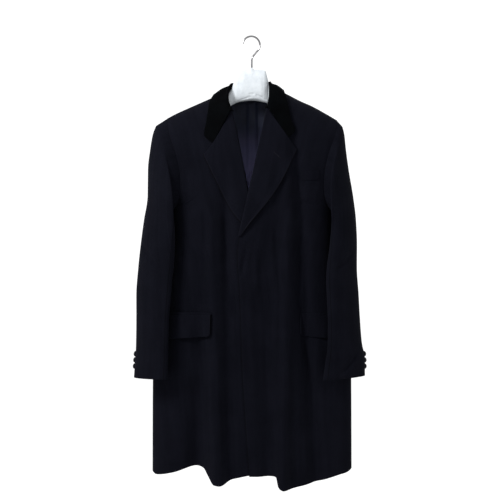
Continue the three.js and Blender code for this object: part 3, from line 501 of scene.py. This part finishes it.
# The lapels, from where they roll to their edges.
leftLapel = {
    "rollX": [39, 29, 18, 7, -4, -15, -26, -33],
    "rollDrop": [184, 235, 285, 335, 385, 435, 482, 513],
    "edgeX": [118, 108, 93, 75, 51, 22, -7, -26],
    "edgeDrop": [288, 311, 343, 377, 414, 450, 485, 511],
}
rightLapel = {
    "rollX": [-50, -39, -29, -19.5, -10, 0, 8, 13.5],
    "rollDrop": [191, 235, 285, 335, 385, 435, 478, 507],
    "edgeX": [-124, -117, -104, -88, -68, -44, -14, 7],
    "edgeDrop": [291, 316, 346, 378, 420, 459, 492, 510],
}
lapel = {
    "thick": 2.4, "rollOuter": 5.0, "rollInset": 1, "turnShare": 0.2, "notchGap": 1,
    "gorgeShare": 0.22, "belly": 3, "bellyEnds": (250, 370), "edgeRise": 2.4,
    "edgeAcross": (0.75, 1), "edgeStarts": (290, 340), "edgeEnds": (0.85, 1), "rows": 90,
    "columns": 56, "flat": (0.11, 0.33), "area": 0.0215,
}


def lapelGrid(hand, table, lap, tip):
    curves = rowCurves(table)
    gorge = {name: value[0] for name, value in table.items()}
    tipShare = (tip[0] - gorge["rollX"]) / (gorge["edgeX"] - gorge["rollX"])
    straight = mix(gorge["rollDrop"], gorge["edgeDrop"], tipShare)
    v, u = shares(lapel["rows"], lapel["columns"])
    row = {name: read(v) for name, read in curves.items()}
    turn = np.clip(u / lapel["turnShare"], 0, 1) * math.pi / 2
    across = np.clip((u - lapel["turnShare"]) / (1 - lapel["turnShare"]), 0, 1)
    hub = row["rollX"] + hand * (lapel["rollOuter"] - lapel["rollInset"])
    x = np.where(across > 0, mix(hub, row["edgeX"], across), hub - hand * lapel["rollOuter"] * np.cos(turn))
    bend = (tip[1] + lapel["notchGap"] - straight) * (1 - ease(0, lapel["gorgeShare"], v))
    drop = mix(row["rollDrop"], row["edgeDrop"], across) + bend * np.sin(math.pi / 2 * np.clip(across / tipShare, 0, 2))
    grid = bodyPoint(x, drop, "front")
    swell = lapel["belly"] * np.sin(math.pi * across) * (1 - ease(*lapel["bellyEnds"], drop))
    lifted = lapel["edgeRise"] * ease(*lapel["edgeAcross"], across) * ease(*lapel["edgeStarts"], drop)
    lifted = lifted * (1 - ease(*lapel["edgeEnds"], v))
    grid[..., 1] -= lap * lapLift(x, drop) + lapel["rollOuter"] * np.sin(turn) + swell + lifted
    return grid


collarTips = {"left": (94, 257), "right": (-99, 273)}
for name, hand, table, lap in (("left", 1, leftLapel, 1), ("right", -1, rightLapel, 0)):
    piece = wall("lapelCloth_" + name, lapelGrid(hand, table, lap, collarTips[name]), lapel["thick"], hand < 0)
    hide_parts("lapel_" + name)
    piecesBySlot["wool"].append(piece)
print("stage: lapels")

# The velvet collar, from one end over the neck to the other.
collar = {
    "neckX": [-46, -49, -53, -57, -61, -64, -56, -42, -24, -3, 20, 38, 51, 62, 54, 48, 43, 38, 34.5],
    "neckDrop": [188, 184, 177, 166, 151, 131, 136, 137, 139, 140, 139, 135, 131, 124, 143, 158, 169, 176, 180],
    "rollX": [-51, -54, -57, -60, -59, -50.5, -46, -33, -20, -4, 13, 28, 42.5, 46.5, 46, 45.5, 43, 41, 39.5],
    "rollDrop": [187, 181, 170, 154, 136, 113, 108, 105, 103.5, 103, 103, 103.5, 105, 107, 128, 147, 162, 173, 179],
    "rollY": [-60, -58, -54, -45, -27, -3, 18, 32, 39, 41, 39, 32, 18, -3, -30, -48, -54, -58, -60],
    "edgeX": [-99, -121, -116, -111, -107, -97, -92, -70, -38, -4, 32, 62, 82, 83, 90, 96, 101, 112, 94],
    "edgeDrop": [273, 249, 219, 192, 168, 147, 161, 165, 165, 165, 164, 161, 155, 136, 161, 190, 211, 237, 257],
    "back": [0, 0, 0, 0, 0, 0, 1, 1, 1, 1, 1, 1, 1, 0, 0, 0, 0, 0, 0],
}
collarForm = {
    "thick": 3, "centre": -3, "bulge": 4.2, "rise": 2.5, "lift": 7, "belly": 2.5, "rows": 200,
    "columns": 48, "flat": (0.45, 0.11), "area": 0.038,
}


def overShoulder(x, fall, lift):
    drop = shoulderAt(x) + fall**2
    ahead, behind = bodyPoint(x, drop, "front", lift), bodyPoint(x, drop, "back", lift)
    return np.where((fall < 0)[..., None], ahead, behind)


# A centripetal Catmull-Rom line through one point after another, read at shares of its number of spans.
def catmull(stops, share):
    stops = np.stack(stops)
    ends = np.concatenate([2 * stops[:1] - stops[1:2], stops, 2 * stops[-1:] - stops[-2:-1]])
    count = len(stops) - 1
    at = np.clip(share * count, 0, count - 1e-6)
    span = at.astype(int)
    t = (at - span)[..., None]
    take = lambda k: np.take_along_axis(ends, (span + k)[None, ..., None], 0)[0]
    p = [take(k) for k in range(4)]
    gaps = [np.maximum(np.linalg.norm(p[k + 1] - p[k], axis=-1, keepdims=True) ** 0.5, 1e-4) for k in range(3)]
    startSlope = (p[1] - p[0]) / gaps[0] - (p[2] - p[0]) / (gaps[0] + gaps[1]) + (p[2] - p[1]) / gaps[1]
    endSlope = (p[2] - p[1]) / gaps[1] - (p[3] - p[1]) / (gaps[1] + gaps[2]) + (p[3] - p[2]) / gaps[2]
    m1, m2 = startSlope * gaps[1], endSlope * gaps[1]
    t2, t3 = t * t, t**3
    return (2 * t3 - 3 * t2 + 1) * p[1] + (t3 - 2 * t2 + t) * m1 + (3 * t2 - 2 * t3) * p[2] + (t3 - t2) * m2


def collarGrid():
    form, table = collarForm, dict(collar)
    side = np.where(np.array(table.pop("back")) > 0, 1, -1)
    for end in ("neck", "edge"):
        fall = np.maximum(0, np.array(table[end + "Drop"]) - shoulderAt(np.array(table[end + "X"])))
        table[end + "Fall"] = side * np.sqrt(fall)
    v, u = shares(form["rows"], form["columns"])
    row = {name: read(v) for name, read in rowCurves(table).items()}
    neck = overShoulder(row["neckX"], row["neckFall"], 0.0)
    neck[..., 2] = np.maximum(neck[..., 2], -row["neckDrop"])
    roll = points(row["rollX"], row["rollY"], row["rollDrop"])
    edge = overShoulder(row["edgeX"], row["edgeFall"], form["lift"] + 0 * v)
    away = unit(points(row["rollX"] - form["centre"], row["rollY"], 0))
    up = np.array([0, 0, 1])
    middle = (roll + edge) / 2 + (away + up) * form["belly"]
    top = roll + away * form["bulge"] + up * form["rise"]
    after = roll + away * form["bulge"] * 2 - up * form["rise"]
    return catmull([neck, roll, top, after, middle, edge], u)


piece = wall("collarVelvet", collarGrid(), collarForm["thick"])
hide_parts("velvet_collar")
piecesBySlot["velvet"] = [piece]
print("stage: collar")

# The lining of the back, seen through the neck.
lining = {
    "half": 66, "start": 13, "bottom": 440, "gap": 3, "thick": 1, "pleatEdge": (7, 17),
    "pleatRise": 5, "pleatFade": 0.4, "rows": 90, "columns": 90, "flat": (0.15, 0.3),
    "area": 0.0385,
}


def liningGrid():
    v, u = shares(lining["rows"], lining["columns"])
    x = centre + mix(-lining["half"], lining["half"], u)
    drop = mix(backTop(x) + lining["start"], lining["bottom"], v)
    grid = bodyPoint(x, drop, "back", -bodyForm["cloth"] - lining["gap"] + 0 * v)
    pleat = 1 - ease(*lining["pleatEdge"], np.abs(x - centre))
    grid[..., 1] -= lining["pleatRise"] * pleat * (1 - lining["pleatFade"] * v)
    return grid


piece = wall("backLining", liningGrid(), lining["thick"])
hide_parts("back_lining")
piecesBySlot["satin"] = [piece]
print("stage: lining")

# The pockets' flaps and jets, and the breast pocket's welt.
flapNames = ("hand", "fore", "hind", "top", "foreDepth", "hindDepth", "crease", "lift")
flaps = {
    "right": dict(zip(flapNames, (-1, -105, -226, 720, 53, 62, -161, 1.4))),
    "left": dict(zip(flapNames, (1, 127, 221, 722, 51, 58, 190, 0.4))),
}
pocket = {
    "flapThick": 2.4, "corner": 9, "creasePush": 2.5, "creaseWidth": 9, "jetHeight": 6, "jetGap": 1,
    "jetThick": 1.6, "jetLift": 2.2, "flapRows": 36, "flapColumns": 70, "jetRows": 6,
}
breastWelt = {
    "fore": 130, "hind": 178, "top": 346, "slant": 3, "height": 24, "lift": 0.9, "thick": 0.7,
    "rows": 16, "columns": 30,
}


def pocketGrid(rows, columns, place, lift):
    v, u = shares(rows, columns)
    x, drop = place(v, u)
    grid = bodyPoint(x, drop, "front", lift(v, u) + 0 * v)
    grid[..., 1] -= lapLift(x, drop)
    return grid


for name, flap in flaps.items():
    across = lambda u: mix(flap["fore"], flap["hind"], u)
    width = abs(flap["hind"] - flap["fore"])

    def flapPlace(v, u):
        corner = pocket["corner"]
        inset = np.clip(corner - np.minimum(u, 1 - u) * width, 0, corner)
        cut = corner - np.sqrt(corner**2 - inset**2)
        return across(u), flap["top"] + v * (mix(flap["foreDepth"], flap["hindDepth"], u) - cut)

    def flapLift(v, u):
        crease = pocket["creasePush"] * v * bell(across(u) - flap["crease"], pocket["creaseWidth"])
        return pocket["flapThick"] + flap["lift"] * (1 + v) + crease

    grid = pocketGrid(pocket["flapRows"], pocket["flapColumns"], flapPlace, flapLift)
    piece = wall("pocketFlap_" + name, grid, pocket["flapThick"], flap["hand"] < 0)
    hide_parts("flap_" + name)
    piecesBySlot["wool"].append(piece)
    jetTop = flap["top"] - pocket["jetHeight"] - pocket["jetGap"]
    jetPlace = lambda v, u: (across(u), jetTop + v * pocket["jetHeight"])
    grid = pocketGrid(pocket["jetRows"], pocket["flapColumns"], jetPlace, lambda v, u: pocket["jetLift"])
    piece = wall("pocketJet_" + name, grid, pocket["jetThick"], flap["hand"] < 0)
    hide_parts("jet_" + name)
    piecesBySlot["wool"].append(piece)

weltPlace = lambda v, u: (
    mix(breastWelt["fore"], breastWelt["hind"], u),
    breastWelt["top"] - breastWelt["slant"] * u + v * breastWelt["height"],
)
grid = pocketGrid(breastWelt["rows"], breastWelt["columns"], weltPlace, lambda v, u: breastWelt["lift"])
piece = wall("breastWeltCloth", grid, breastWelt["thick"])
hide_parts("breast_welt")
piecesBySlot["wool"].append(piece)
print("stage: pockets")

# The cuff buttons.
button = {
    "drops": [822, 838, 854],
    "turn": 0.3, "gap": 0.9, "holes": 4, "holeAt": 2.1, "sides": 48, "threadSides": 12,
}
# The radius and height of a button's outline, and of the stitches that fill its holes.
buttonProfile = [(0, 0), (5.9, 0), (7.1, 0.7), (7.5, 1.7), (7.4, 2.8), (6.9, 3.5), (6.1, 3.6), (5.3, 3.1)]
buttonProfile += [(4.2, 2.7), (0, 2.5)]
threadProfile = [(0, 2.2), (0.55, 2.2), (0.6, 2.8), (0.35, 3.1), (0, 3.15)]


def lathe(build, profile, sides, place):
    rings = []
    for radius, height in profile:
        if radius == 0:
            rings.append([build.verts.new(place(0, 0, height))])
            continue
        turns = [2 * math.pi * k / sides for k in range(sides)]
        rings.append([build.verts.new(place(radius * math.cos(a), radius * math.sin(a), height)) for a in turns])
    for low, high in zip(rings[:-1], rings[1:]):
        for k in range(sides):
            corners = [low[k % len(low)], low[(k + 1) % len(low)], high[(k + 1) % len(high)], high[k % len(high)]]
            build.faces.new(list(dict.fromkeys(corners)))


def buttonMesh(name, here, out):
    side = unit(np.cross(out, [0.0, 0.0, 1.0]))
    up = np.cross(side, out)
    foot = here + out * button["gap"]
    place = lambda a, b, c: (foot + side * a + up * b + out * c) * mm
    build = bmesh.new()
    lathe(build, buttonProfile, button["sides"], place)
    shell = len(build.faces)
    for k in range(button["holes"]):
        turn = (k + 0.5) * 2 * math.pi / button["holes"]
        x, y = button["holeAt"] * math.cos(turn), button["holeAt"] * math.sin(turn)
        lathe(build, threadProfile, button["threadSides"], lambda a, b, c: place(a + x, b + y, c))
    mesh = bpy.data.meshes.new(name)
    build.to_mesh(mesh)
    build.free()
    for number, face in enumerate(mesh.polygons):
        face.use_smooth = True
        face.material_index = int(number >= shell)
    return showMesh(name, mesh)


piecesBySlot["button"] = []
for name, hand, table in (("right", -1, rightSleeve), ("left", 1, leftSleeve)):
    curves = rowCurves(table)
    turn = sleeve["hindSeam"] + button["turn"]
    onSleeve = lambda share, more=0.0: sleeveRing(hand, curves, np.float64(share), np.float64(turn + more))
    for number, drop in enumerate(button["drops"], 1):
        share, step = 0.5, 0.25
        while step > 1e-4:
            share += step if -onSleeve(share)[2] < drop else -step
            step /= 2
        here = onSleeve(share)
        out = unit(np.cross(onSleeve(share + 0.02) - here, onSleeve(share, 0.05) - here))
        out = -out if out[0] * hand < 0 else out
        piece = buttonMesh(f"cuffButton_{name}_{number}", here, out)
        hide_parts(f"cuff_button_{name}_{number}")
        piecesBySlot["button"].append(piece)
print("stage: buttons")

# The hanger in its wrap.
hanger = {
    "x": [-206, -198, -160, -116, -80, -66, -60, -56, -52, -48.5, -46, -41, -34.5, -10, 0]
    + [10, 34, 37.5, 41, 44, 46.5, 50, 56, 62, 80, 116, 160, 194, 202],
    "top": [207, 199, 181, 162, 148, 141, 135, 129.5, 123, 114, 105, 93, 77.5, 74, 68.5]
    + [73.5, 75, 76.5, 88.5, 99.5, 111.5, 117.5, 124, 131, 144, 161, 182, 199, 207],
    "bottom": [227, 231, 224, 204, 188, 178, 173, 170.5, 167.5, 165.5, 164.5, 162, 159.5, 155.4, 155]
    + [155.3, 160, 161, 162, 163, 164.5, 167, 171, 174.5, 187, 205, 226, 233, 229],
    "thick": [9, 15, 18, 18, 16, 14, 12.5, 12, 11, 10, 10, 12.5, 14, 15, 15]
    + [15, 14, 12.5, 11, 8.5, 8, 10, 12, 13, 16, 18, 18, 15, 9],
    "rows": 260, "sides": 96, "rounding": 0.75, "wrinkleStart": (-0.2, 0.15),
    "wrinkleEnd": (0.85, 1.2),
}
# Wrinkles of the wrap: fromX, fromDrop, toX, toDrop, push and width.
wrapWrinkles = [
    (-50, 165, -24, 153, -1.7, 2.0), (-24, 153, -1, 146.5, -1.7, 2.0),
    (13, 141.5, 27, 147, -1.5, 2.2), (27, 147, 39, 154, -1.5, 2.2),
    (-5, 139.5, 8, 139, -1.6, 1.8), (-42, 161, -8, 151.5, 1.4, 2.6),
    (-8, 151, 14, 150, 1.2, 2.6), (14, 150, 40, 159, 1.2, 2.6),
    (-46, 108, -30, 118, -0.8, 2.5), (44, 112, 30, 116, -0.7, 2.5),
    (-18, 84, -26, 138, 0.6, 6.0), (22, 86, 28, 138, 0.6, 6.0),
]


def hangerMesh():
    along = np.linspace(0, 1, hanger["rows"])
    x = mix(hanger["x"][0], hanger["x"][-1], along)[:, None]
    turn = np.linspace(0, 2 * math.pi, hanger["sides"], endpoint=False)[None, :]
    top, bottom, thick = (curve(hanger["x"], hanger[name])(x) for name in ("top", "bottom", "thick"))
    rounded = lambda value: np.sign(value) * np.abs(value) ** hanger["rounding"]
    drop = (top + bottom) / 2 - (bottom - top) / 2 * rounded(np.cos(turn))
    y = thick * rounded(np.sin(turn))
    push = 0
    for wrinkle in wrapWrinkles:
        push = push + creasePush(wrinkle, x, drop, hanger["wrinkleStart"], hanger["wrinkleEnd"])
    y = y + np.sign(y) * push * np.abs(np.sin(turn))
    grid = points(x, y, drop)
    rows, sides = grid.shape[:2]
    index = np.arange(rows * sides).reshape(rows, sides)
    quads = np.stack([index[:-1], index[1:], np.roll(index[1:], -1, 1), np.roll(index[:-1], -1, 1)], -1).reshape(-1, 4)
    mesh = bpy.data.meshes.new("hangerWrap")
    mesh.from_pydata(grid.reshape(-1, 3) * mm, [], quads.tolist() + [index[0].tolist(), index[-1][::-1].tolist()])
    mesh.polygons.foreach_set("use_smooth", [True] * len(mesh.polygons))
    return showMesh("hangerWrap", mesh)


piece = hangerMesh()
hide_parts("hanger_body")
piecesBySlot["wrap"] = [piece]
print("stage: hanger")

# The wire hook: the round part turns by so many degrees a stop, and the neck goes on in x and drop.
hook = {
    "wire": 5, "radius": 22.8, "start": 170, "turn": 20.5, "stops": 11,
    "neck": [(13.4, 27), (7.8, 34), (2.6, 41), (1.4, 50), (1.4, 67.9)],
    "samples": 160,
}


# A round wire or thread through a line of points.
def wirePiece(name, path, radius):
    line = bpy.data.curves.new(name, "CURVE")
    line.dimensions = "3D"
    line.bevel_depth = radius * mm
    line.bevel_resolution = 6
    line.use_fill_caps = True
    spline = line.splines.new("POLY")
    spline.points.add(len(path) - 1)
    for stop, place in zip(spline.points, path):
        stop.co = (*(place * mm), 1)
    spline.use_smooth = True
    bare = placed("bareLine", line)
    mesh = bpy.data.meshes.new_from_object(bare.evaluated_get(bpy.context.evaluated_depsgraph_get()))
    bpy.data.objects.remove(bare)
    mesh.materials.clear()
    build = bmesh.new()
    build.from_mesh(mesh)
    bmesh.ops.remove_doubles(build, verts=build.verts, dist=1e-6)
    build.to_mesh(mesh)
    build.free()
    return showMesh(name, mesh)


def hookPath():
    hub = hook["radius"] - hook["wire"] / 2 - crownRise
    turns = [math.radians(hook["start"] - hook["turn"] * k) for k in range(hook["stops"])]
    stops = [(hook["radius"] * math.cos(a), -hub + hook["radius"] * math.sin(a)) for a in turns]
    stops += [(x, -drop) for x, drop in hook["neck"]]
    share = np.linspace(0, 1, hook["samples"])
    return catmull([np.ones((len(share), 1)) * [x, 0, z] for x, z in stops], share)


piece = wirePiece("hookWire", hookPath(), hook["wire"] / 2)
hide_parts("hook")
piecesBySlot["wire"] = [piece]
print("stage: hook")

# The buttonhole worked in the left lapel.
buttonhole = {
    "from": (58.5, 296.7), "to": (74.6, 311.7), "stitches": 22, "half": 1.3, "thread": 0.45,
    "bellyShare": 0.9,
}


def buttonholePath():
    (fromX, fromDrop), (toX, toDrop) = buttonhole["from"], buttonhole["to"]
    length = math.hypot(toX - fromX, toDrop - fromDrop)
    t = np.linspace(0, 1, buttonhole["stitches"])
    aside = buttonhole["half"] * np.where(np.arange(len(t)) % 2, 1, -1)
    x = mix(fromX, toX, t) - aside * (toDrop - fromDrop) / length
    drop = mix(fromDrop, toDrop, t) + aside * (toX - fromX) / length
    path = bodyPoint(x, drop, "front")
    swell = lapel["belly"] * buttonhole["bellyShare"] * (1 - ease(*lapel["bellyEnds"], drop))
    path[..., 1] -= lapLift(x, drop) + lapel["rollOuter"] + swell + buttonhole["thread"]
    return path


piece = wirePiece("lapelButtonhole", buttonholePath(), buttonhole["thread"])
piecesBySlot["thread"] = [piece]
print("stage: buttonhole")


# A socket of a material's node tree.
class Signal:
    def __init__(self, tree, socket=None):
        self.tree, self.socket = tree, socket

    def other(self, kind, inputs=None, settings=None, output=0):
        node = self.tree.nodes.new(kind)
        for key, value in (settings or {}).items():
            setattr(node, key, value)
        for key, value in (inputs or {}).items():
            if isinstance(value, Signal):
                self.tree.links.new(value.socket, node.inputs[key])
            else:
                node.inputs[key].default_value = value
        return Signal(self.tree, node.outputs[output])

    def maths(self, operation, *values):
        return self.other("ShaderNodeMath", dict(enumerate(values)), {"operation": operation})

    def __add__(self, value):
        return self.maths("ADD", self, value)

    def __sub__(self, value):
        return self.maths("SUBTRACT", self, value)

    def __rsub__(self, value):
        return self.maths("SUBTRACT", value, self)

    def __mul__(self, value):
        return self.maths("MULTIPLY", self, value)

    def between(self, low, high, fromValue=0.0, toValue=1.0):
        ends = {"Value": self, "From Min": low, "From Max": high, "To Min": fromValue, "To Max": toValue}
        return self.other("ShaderNodeMapRange", ends, {"interpolation_type": "SMOOTHSTEP"})

    def blend(self, first, second):
        start = first if isinstance(first, Signal) else (*first, 1)
        return self.other("ShaderNodeMix", {0: self, 6: start, 7: (*second, 1)}, {"data_type": "RGBA"}, 2)


class Finish:
    def __init__(self, name, **sockets):
        self.material = bpy.data.materials.new(name)
        self.material.use_nodes = True
        self.tree = self.material.node_tree
        self.shader = self.tree.nodes["Principled BSDF"]
        self.start = Signal(self.tree)
        for key, value in sockets.items():
            self.set(key, value)

    def set(self, key, value):
        socket = self.shader.inputs[key.replace("_", " ")]
        if isinstance(value, Signal):
            self.tree.links.new(value.socket, socket)
        else:
            socket.default_value = value

    def place(self):
        return self.start.other("ShaderNodeTexCoord", output="Object")

    def cloth(self):
        uv = self.start.other("ShaderNodeUVMap", settings={"uv_map": "cloth"})
        return [self.start.other("ShaderNodeSeparateXYZ", {0: uv}, output=axis) for axis in ("X", "Y")]

    def attribute(self, name):
        return self.start.other("ShaderNodeAttribute", settings={"attribute_name": name}, output="Fac")

    def noise(self, scale, detail=3.0, rough=0.55):
        inputs = {"Vector": self.place(), "Scale": scale, "Detail": detail, "Roughness": rough}
        return self.start.other("ShaderNodeTexNoise", inputs, output="Fac")

    def grain(self, across, down, detail):
        place = self.start.other("ShaderNodeCombineXYZ", {0: across, 1: down})
        inputs = {"Vector": place, "Scale": 1.0, "Detail": detail}
        return self.start.other("ShaderNodeTexNoise", inputs, output="Fac")

    def bump(self, height, distance, strength):
        inputs = {"Height": height, "Distance": distance, "Strength": strength}
        self.set("Normal", self.start.other("ShaderNodeBump", inputs))


def wave(signal, pitch):
    return signal.maths("SINE", signal * (2 * math.pi / pitch))


# The two colours along the edges are a painted highlight and a painted shade.
woolLook = {
    "base": (0.0007, 0.0008, 0.0019), "light": (0.0024, 0.0026, 0.0048),
    "paintedEdgeLight": (0.006, 0.0062, 0.0100), "seam": (0.0003, 0.0003, 0.0005), "twillPitch": 0.0013,
    "roughness": 0.93, "specular": 0.03, "sheen": 0.03, "sheenTint": (0.12, 0.13, 0.2, 1),
}


# Painted shade: the cloth darkens along its sides by the share given, standing in for the shade in the seams and under
# the edges. Painted highlight: it lightens along them by the share given, standing in for the light that the rolled
# free edges catch.
def woolFinish(name, look, seam, paintedEdgeLightShare):
    sheen = {"Sheen_Weight": look["sheen"], "Sheen_Roughness": 0.5, "Sheen_Tint": look["sheenTint"]}
    finish = Finish(name, Specular_IOR_Level=look["specular"], **sheen)
    along, down = finish.cloth()
    twill = wave(along + down, look["twillPitch"])
    thread = wave(down - along * 0.35, look["twillPitch"] * 0.45)
    nap = finish.noise(1400.0, 2.0)
    cloud = finish.noise(14.0, 4.0)
    fleck = finish.noise(420.0, 2.0, 0.7)
    streak = finish.grain(along * 70, down * 5, 3.0)
    mottle = cloud.between(0.3, 0.7) * 0.3 + fleck.between(0.35, 0.75) * 0.3
    shade = mottle + streak.between(0.3, 0.7) * 0.25 + twill * 0.06 + 0.1
    colour = shade.blend(look["base"], look["light"])
    rim = finish.attribute("rim")
    # Painted highlight along the edges.
    colour = ((1 - rim.between(0.0008, 0.0034)) * paintedEdgeLightShare).blend(colour, look["paintedEdgeLight"])
    # Painted shade along the sides.
    colour = ((1 - rim.between(0.0003, 0.0016)) * seam).blend(colour, look["seam"])
    finish.set("Base Color", colour)
    finish.set("Roughness", nap.between(0.2, 0.8, look["roughness"] - 0.06, look["roughness"] + 0.05))
    finish.bump(twill * 0.3 + thread * 0.15 + nap * 0.6 + cloud * 0.4 + streak * 0.5, 0.00022, 0.8)
    return finish.material


velvetLook = {
    "base": (0.0003, 0.00035, 0.0005), "light": (0.0009, 0.0011, 0.0014), "sheen": 0.05,
    "sheenTint": (0.35, 0.38, 0.5, 1),
}


def velvetFinish(look):
    sheen = {"Sheen_Weight": look["sheen"], "Sheen_Roughness": 0.25, "Sheen_Tint": look["sheenTint"]}
    finish = Finish("velvet", Specular_IOR_Level=0.01, **sheen)
    pile = finish.noise(2600.0, 2.0)
    brushed = finish.noise(32.0, 4.0)
    colour = (brushed.between(0.35, 0.7) * 0.6 + pile * 0.4).blend(look["base"], look["light"])
    finish.set("Base Color", colour)
    finish.set("Roughness", brushed.between(0.3, 0.7, 0.8, 0.95))
    finish.bump(pile + brushed * 0.6, 0.0003, 0.7)
    return finish.material


# The lightest colour is painted light and sheen for the lower lining.
satinLook = {
    "base": (0.0035, 0.0050, 0.0120), "light": (0.0090, 0.0115, 0.0260),
    "deep": (0.14, 0.135, 0.27), "roughness": 0.38,
}


# Painted light: the lining lightens down the back from its top edge on, by the share given, standing in for the light
# and sheen on the satin lower down.
def satinFinish(name, look, deepens):
    finish = Finish(name, Specular_IOR_Level=0.12, Sheen_Weight=0.03, Anisotropic=0.4)
    along, down = finish.cloth()
    rib = wave(along + down * 0.2, 0.0006)
    wrinkle = finish.noise(38.0, 4.0)
    fine = finish.noise(300.0, 2.0)
    streak = finish.grain(along * 90, down * 9, 4.0)
    shade = (wrinkle.between(0.3, 0.7) * 0.5 + streak.between(0.3, 0.7) * 0.5).blend(look["base"], look["light"])
    # Painted light and sheen, stronger down the lining.
    paintedLightMask = down.between(0.05, 0.24) * deepens * (streak * 0.6 + 0.7)
    finish.set("Base Color", paintedLightMask.blend(shade, look["deep"]))
    finish.set("Roughness", wrinkle.between(0.25, 0.75, look["roughness"] - 0.06, look["roughness"] + 0.1))
    finish.bump(rib * 0.1 + wrinkle * 1.8 + streak + fine * 0.2, 0.0006, 0.8)
    return finish.material


def wrapFinish():
    finish = Finish("wrap", Specular_IOR_Level=0.25, Sheen_Weight=0.1)
    crumple = finish.noise(46.0, 5.0)
    fibre = finish.noise(900.0, 2.0)
    shade = crumple.between(0.3, 0.7) * 0.7 + fibre * 0.3
    finish.set("Base Color", shade.blend((0.32, 0.345, 0.37), (0.375, 0.4, 0.42)))
    finish.set("Roughness", fibre.between(0.2, 0.8, 0.55, 0.75))
    finish.bump(crumple * 2.0 + fibre * 0.15, 0.0011, 0.8)
    return finish.material


def wireFinish():
    finish = Finish("wire", Metallic=1.0)
    scratch = finish.noise(700.0, 3.0)
    finish.set("Base Color", scratch.between(0.3, 0.7).blend((0.15, 0.15, 0.155), (0.23, 0.23, 0.235)))
    finish.set("Roughness", scratch.between(0.3, 0.7, 0.12, 0.22))
    finish.bump(scratch, 0.00004, 0.5)
    return finish.material


def hornFinish():
    finish = Finish("horn", Specular_IOR_Level=0.18, Coat_Weight=0.04)
    cloud = finish.noise(180.0, 4.0)
    finish.set("Base Color", cloud.between(0.35, 0.7).blend((0.003, 0.003, 0.004), (0.010, 0.010, 0.013)))
    finish.set("Roughness", cloud.between(0.3, 0.7, 0.28, 0.42))
    finish.bump(cloud, 0.0001, 0.4)
    return finish.material


def threadFinish():
    finish = Finish("thread", Specular_IOR_Level=0.1)
    twist = finish.noise(2200.0, 2.0)
    finish.set("Base Color", twist.blend((0.006, 0.006, 0.009), (0.014, 0.014, 0.02)))
    finish.set("Roughness", twist.between(0.2, 0.8, 0.75, 0.9))
    finish.bump(twist, 0.0002, 0.6)
    return finish.material


# The wool has painted shade along its pieces' sides. edgedWool has more of it and adds a painted highlight along the
# free edges, and plainWool has neither.
woolMaterial = woolFinish("wool", woolLook, 0.6, 0.0)
plainWool = woolFinish("plainWool", woolLook, 0.0, 0.0)
edgedWool = woolFinish("edgedWool", woolLook, 0.9, 0.3)
satinMaterial = satinFinish("satin", satinLook, 0.0)
slotMaterials = {
    "wool": [woolMaterial, satinMaterial],
    "velvet": [velvetFinish(velvetLook), woolMaterial],
    # The back lining carries the full painted light down its length.
    "satin": [satinFinish("backSatin", satinLook, 1.0), satinMaterial],
    "wrap": [wrapFinish()],
    "wire": [wireFinish()],
    "button": [hornFinish(), threadFinish()],
    "thread": [threadFinish()],
}
for slot, materials in slotMaterials.items():
    for piece in piecesBySlot[slot]:
        for material in materials:
            piece.data.materials.append(material)
for piece in piecesBySlot["wool"]:
    if piece.name.startswith(("lapelCloth", "pocketFlap_right")):
        piece.data.materials[0] = piece.data.materials[1] = edgedWool
    if piece.name.startswith(("pocketFlap_left", "pocketJet", "breastWelt")):
        piece.data.materials[0] = piece.data.materials[1] = plainWool
print("stage: materials")

# The stage.
lightNames = ("name", "at", "aim", "size", "energy", "color")
stage = {
    "floorDrop": 1900, "floorSize": 40, "clipEnd": 50, "frameWidth": 1.3, "distance": 2.95,
    "planeY": -0.05, "aimX": -0.0034, "aimDrop": 550, "world": 1.15,
    "lights": [
        ("key", (-1.5, -1.4, 0.95), (0, 0, -0.2), 0.7, 105, (1, 0.99, 0.98)),
        ("fill", (2.8, -2.6, 0.4), (0, 0, -0.6), 1.6, 12, (0.97, 0.98, 1)),
    ],
}


def buildStage():
    bpy.ops.mesh.primitive_plane_add(size=stage["floorSize"], location=(0, 0, -stage["floorDrop"] * mm))
    floor = bpy.context.object
    floor.name = "studioFloor"
    finish = Finish("studioFloor", Specular_IOR_Level=0.1, Roughness=0.9)
    finish.set("Base Color", finish.noise(3.0).between(0.2, 0.8).blend((0.92, 0.92, 0.92), (0.95, 0.95, 0.95)))
    floor.data.materials.append(finish.material)
    for row in stage["lights"]:
        light = dict(zip(lightNames, row))
        data = bpy.data.lights.new(light["name"], "AREA")
        data.size, data.energy, data.color = light["size"], light["energy"], light["color"]
        lamp = placed(light["name"], data)
        lamp.location = light["at"]
        toAim = Vector(light["aim"]) - Vector(light["at"])
        lamp.rotation_euler = toAim.to_track_quat("-Z", "Y").to_euler()
    camera = placed("camera", bpy.data.cameras.new("camera"))
    camera.location = (stage["aimX"], stage["planeY"] - stage["distance"], -(stage["aimDrop"] + crownRise) * mm)
    camera.rotation_euler = (math.pi / 2, 0, 0)
    camera.data.lens = camera.data.sensor_width * stage["distance"] / stage["frameWidth"]
    camera.data.clip_end = stage["clipEnd"]
    bpy.context.scene.camera = camera
    world = bpy.data.worlds.new("studio")
    world.use_nodes = True
    glow = world.node_tree.nodes["Background"].inputs
    glow["Color"].default_value = (1, 1, 1, 1)
    glow["Strength"].default_value = stage["world"]
    bpy.context.scene.world = world
    bpy.context.scene.view_settings.view_transform = "Standard"


buildStage()
print("stage: studio")
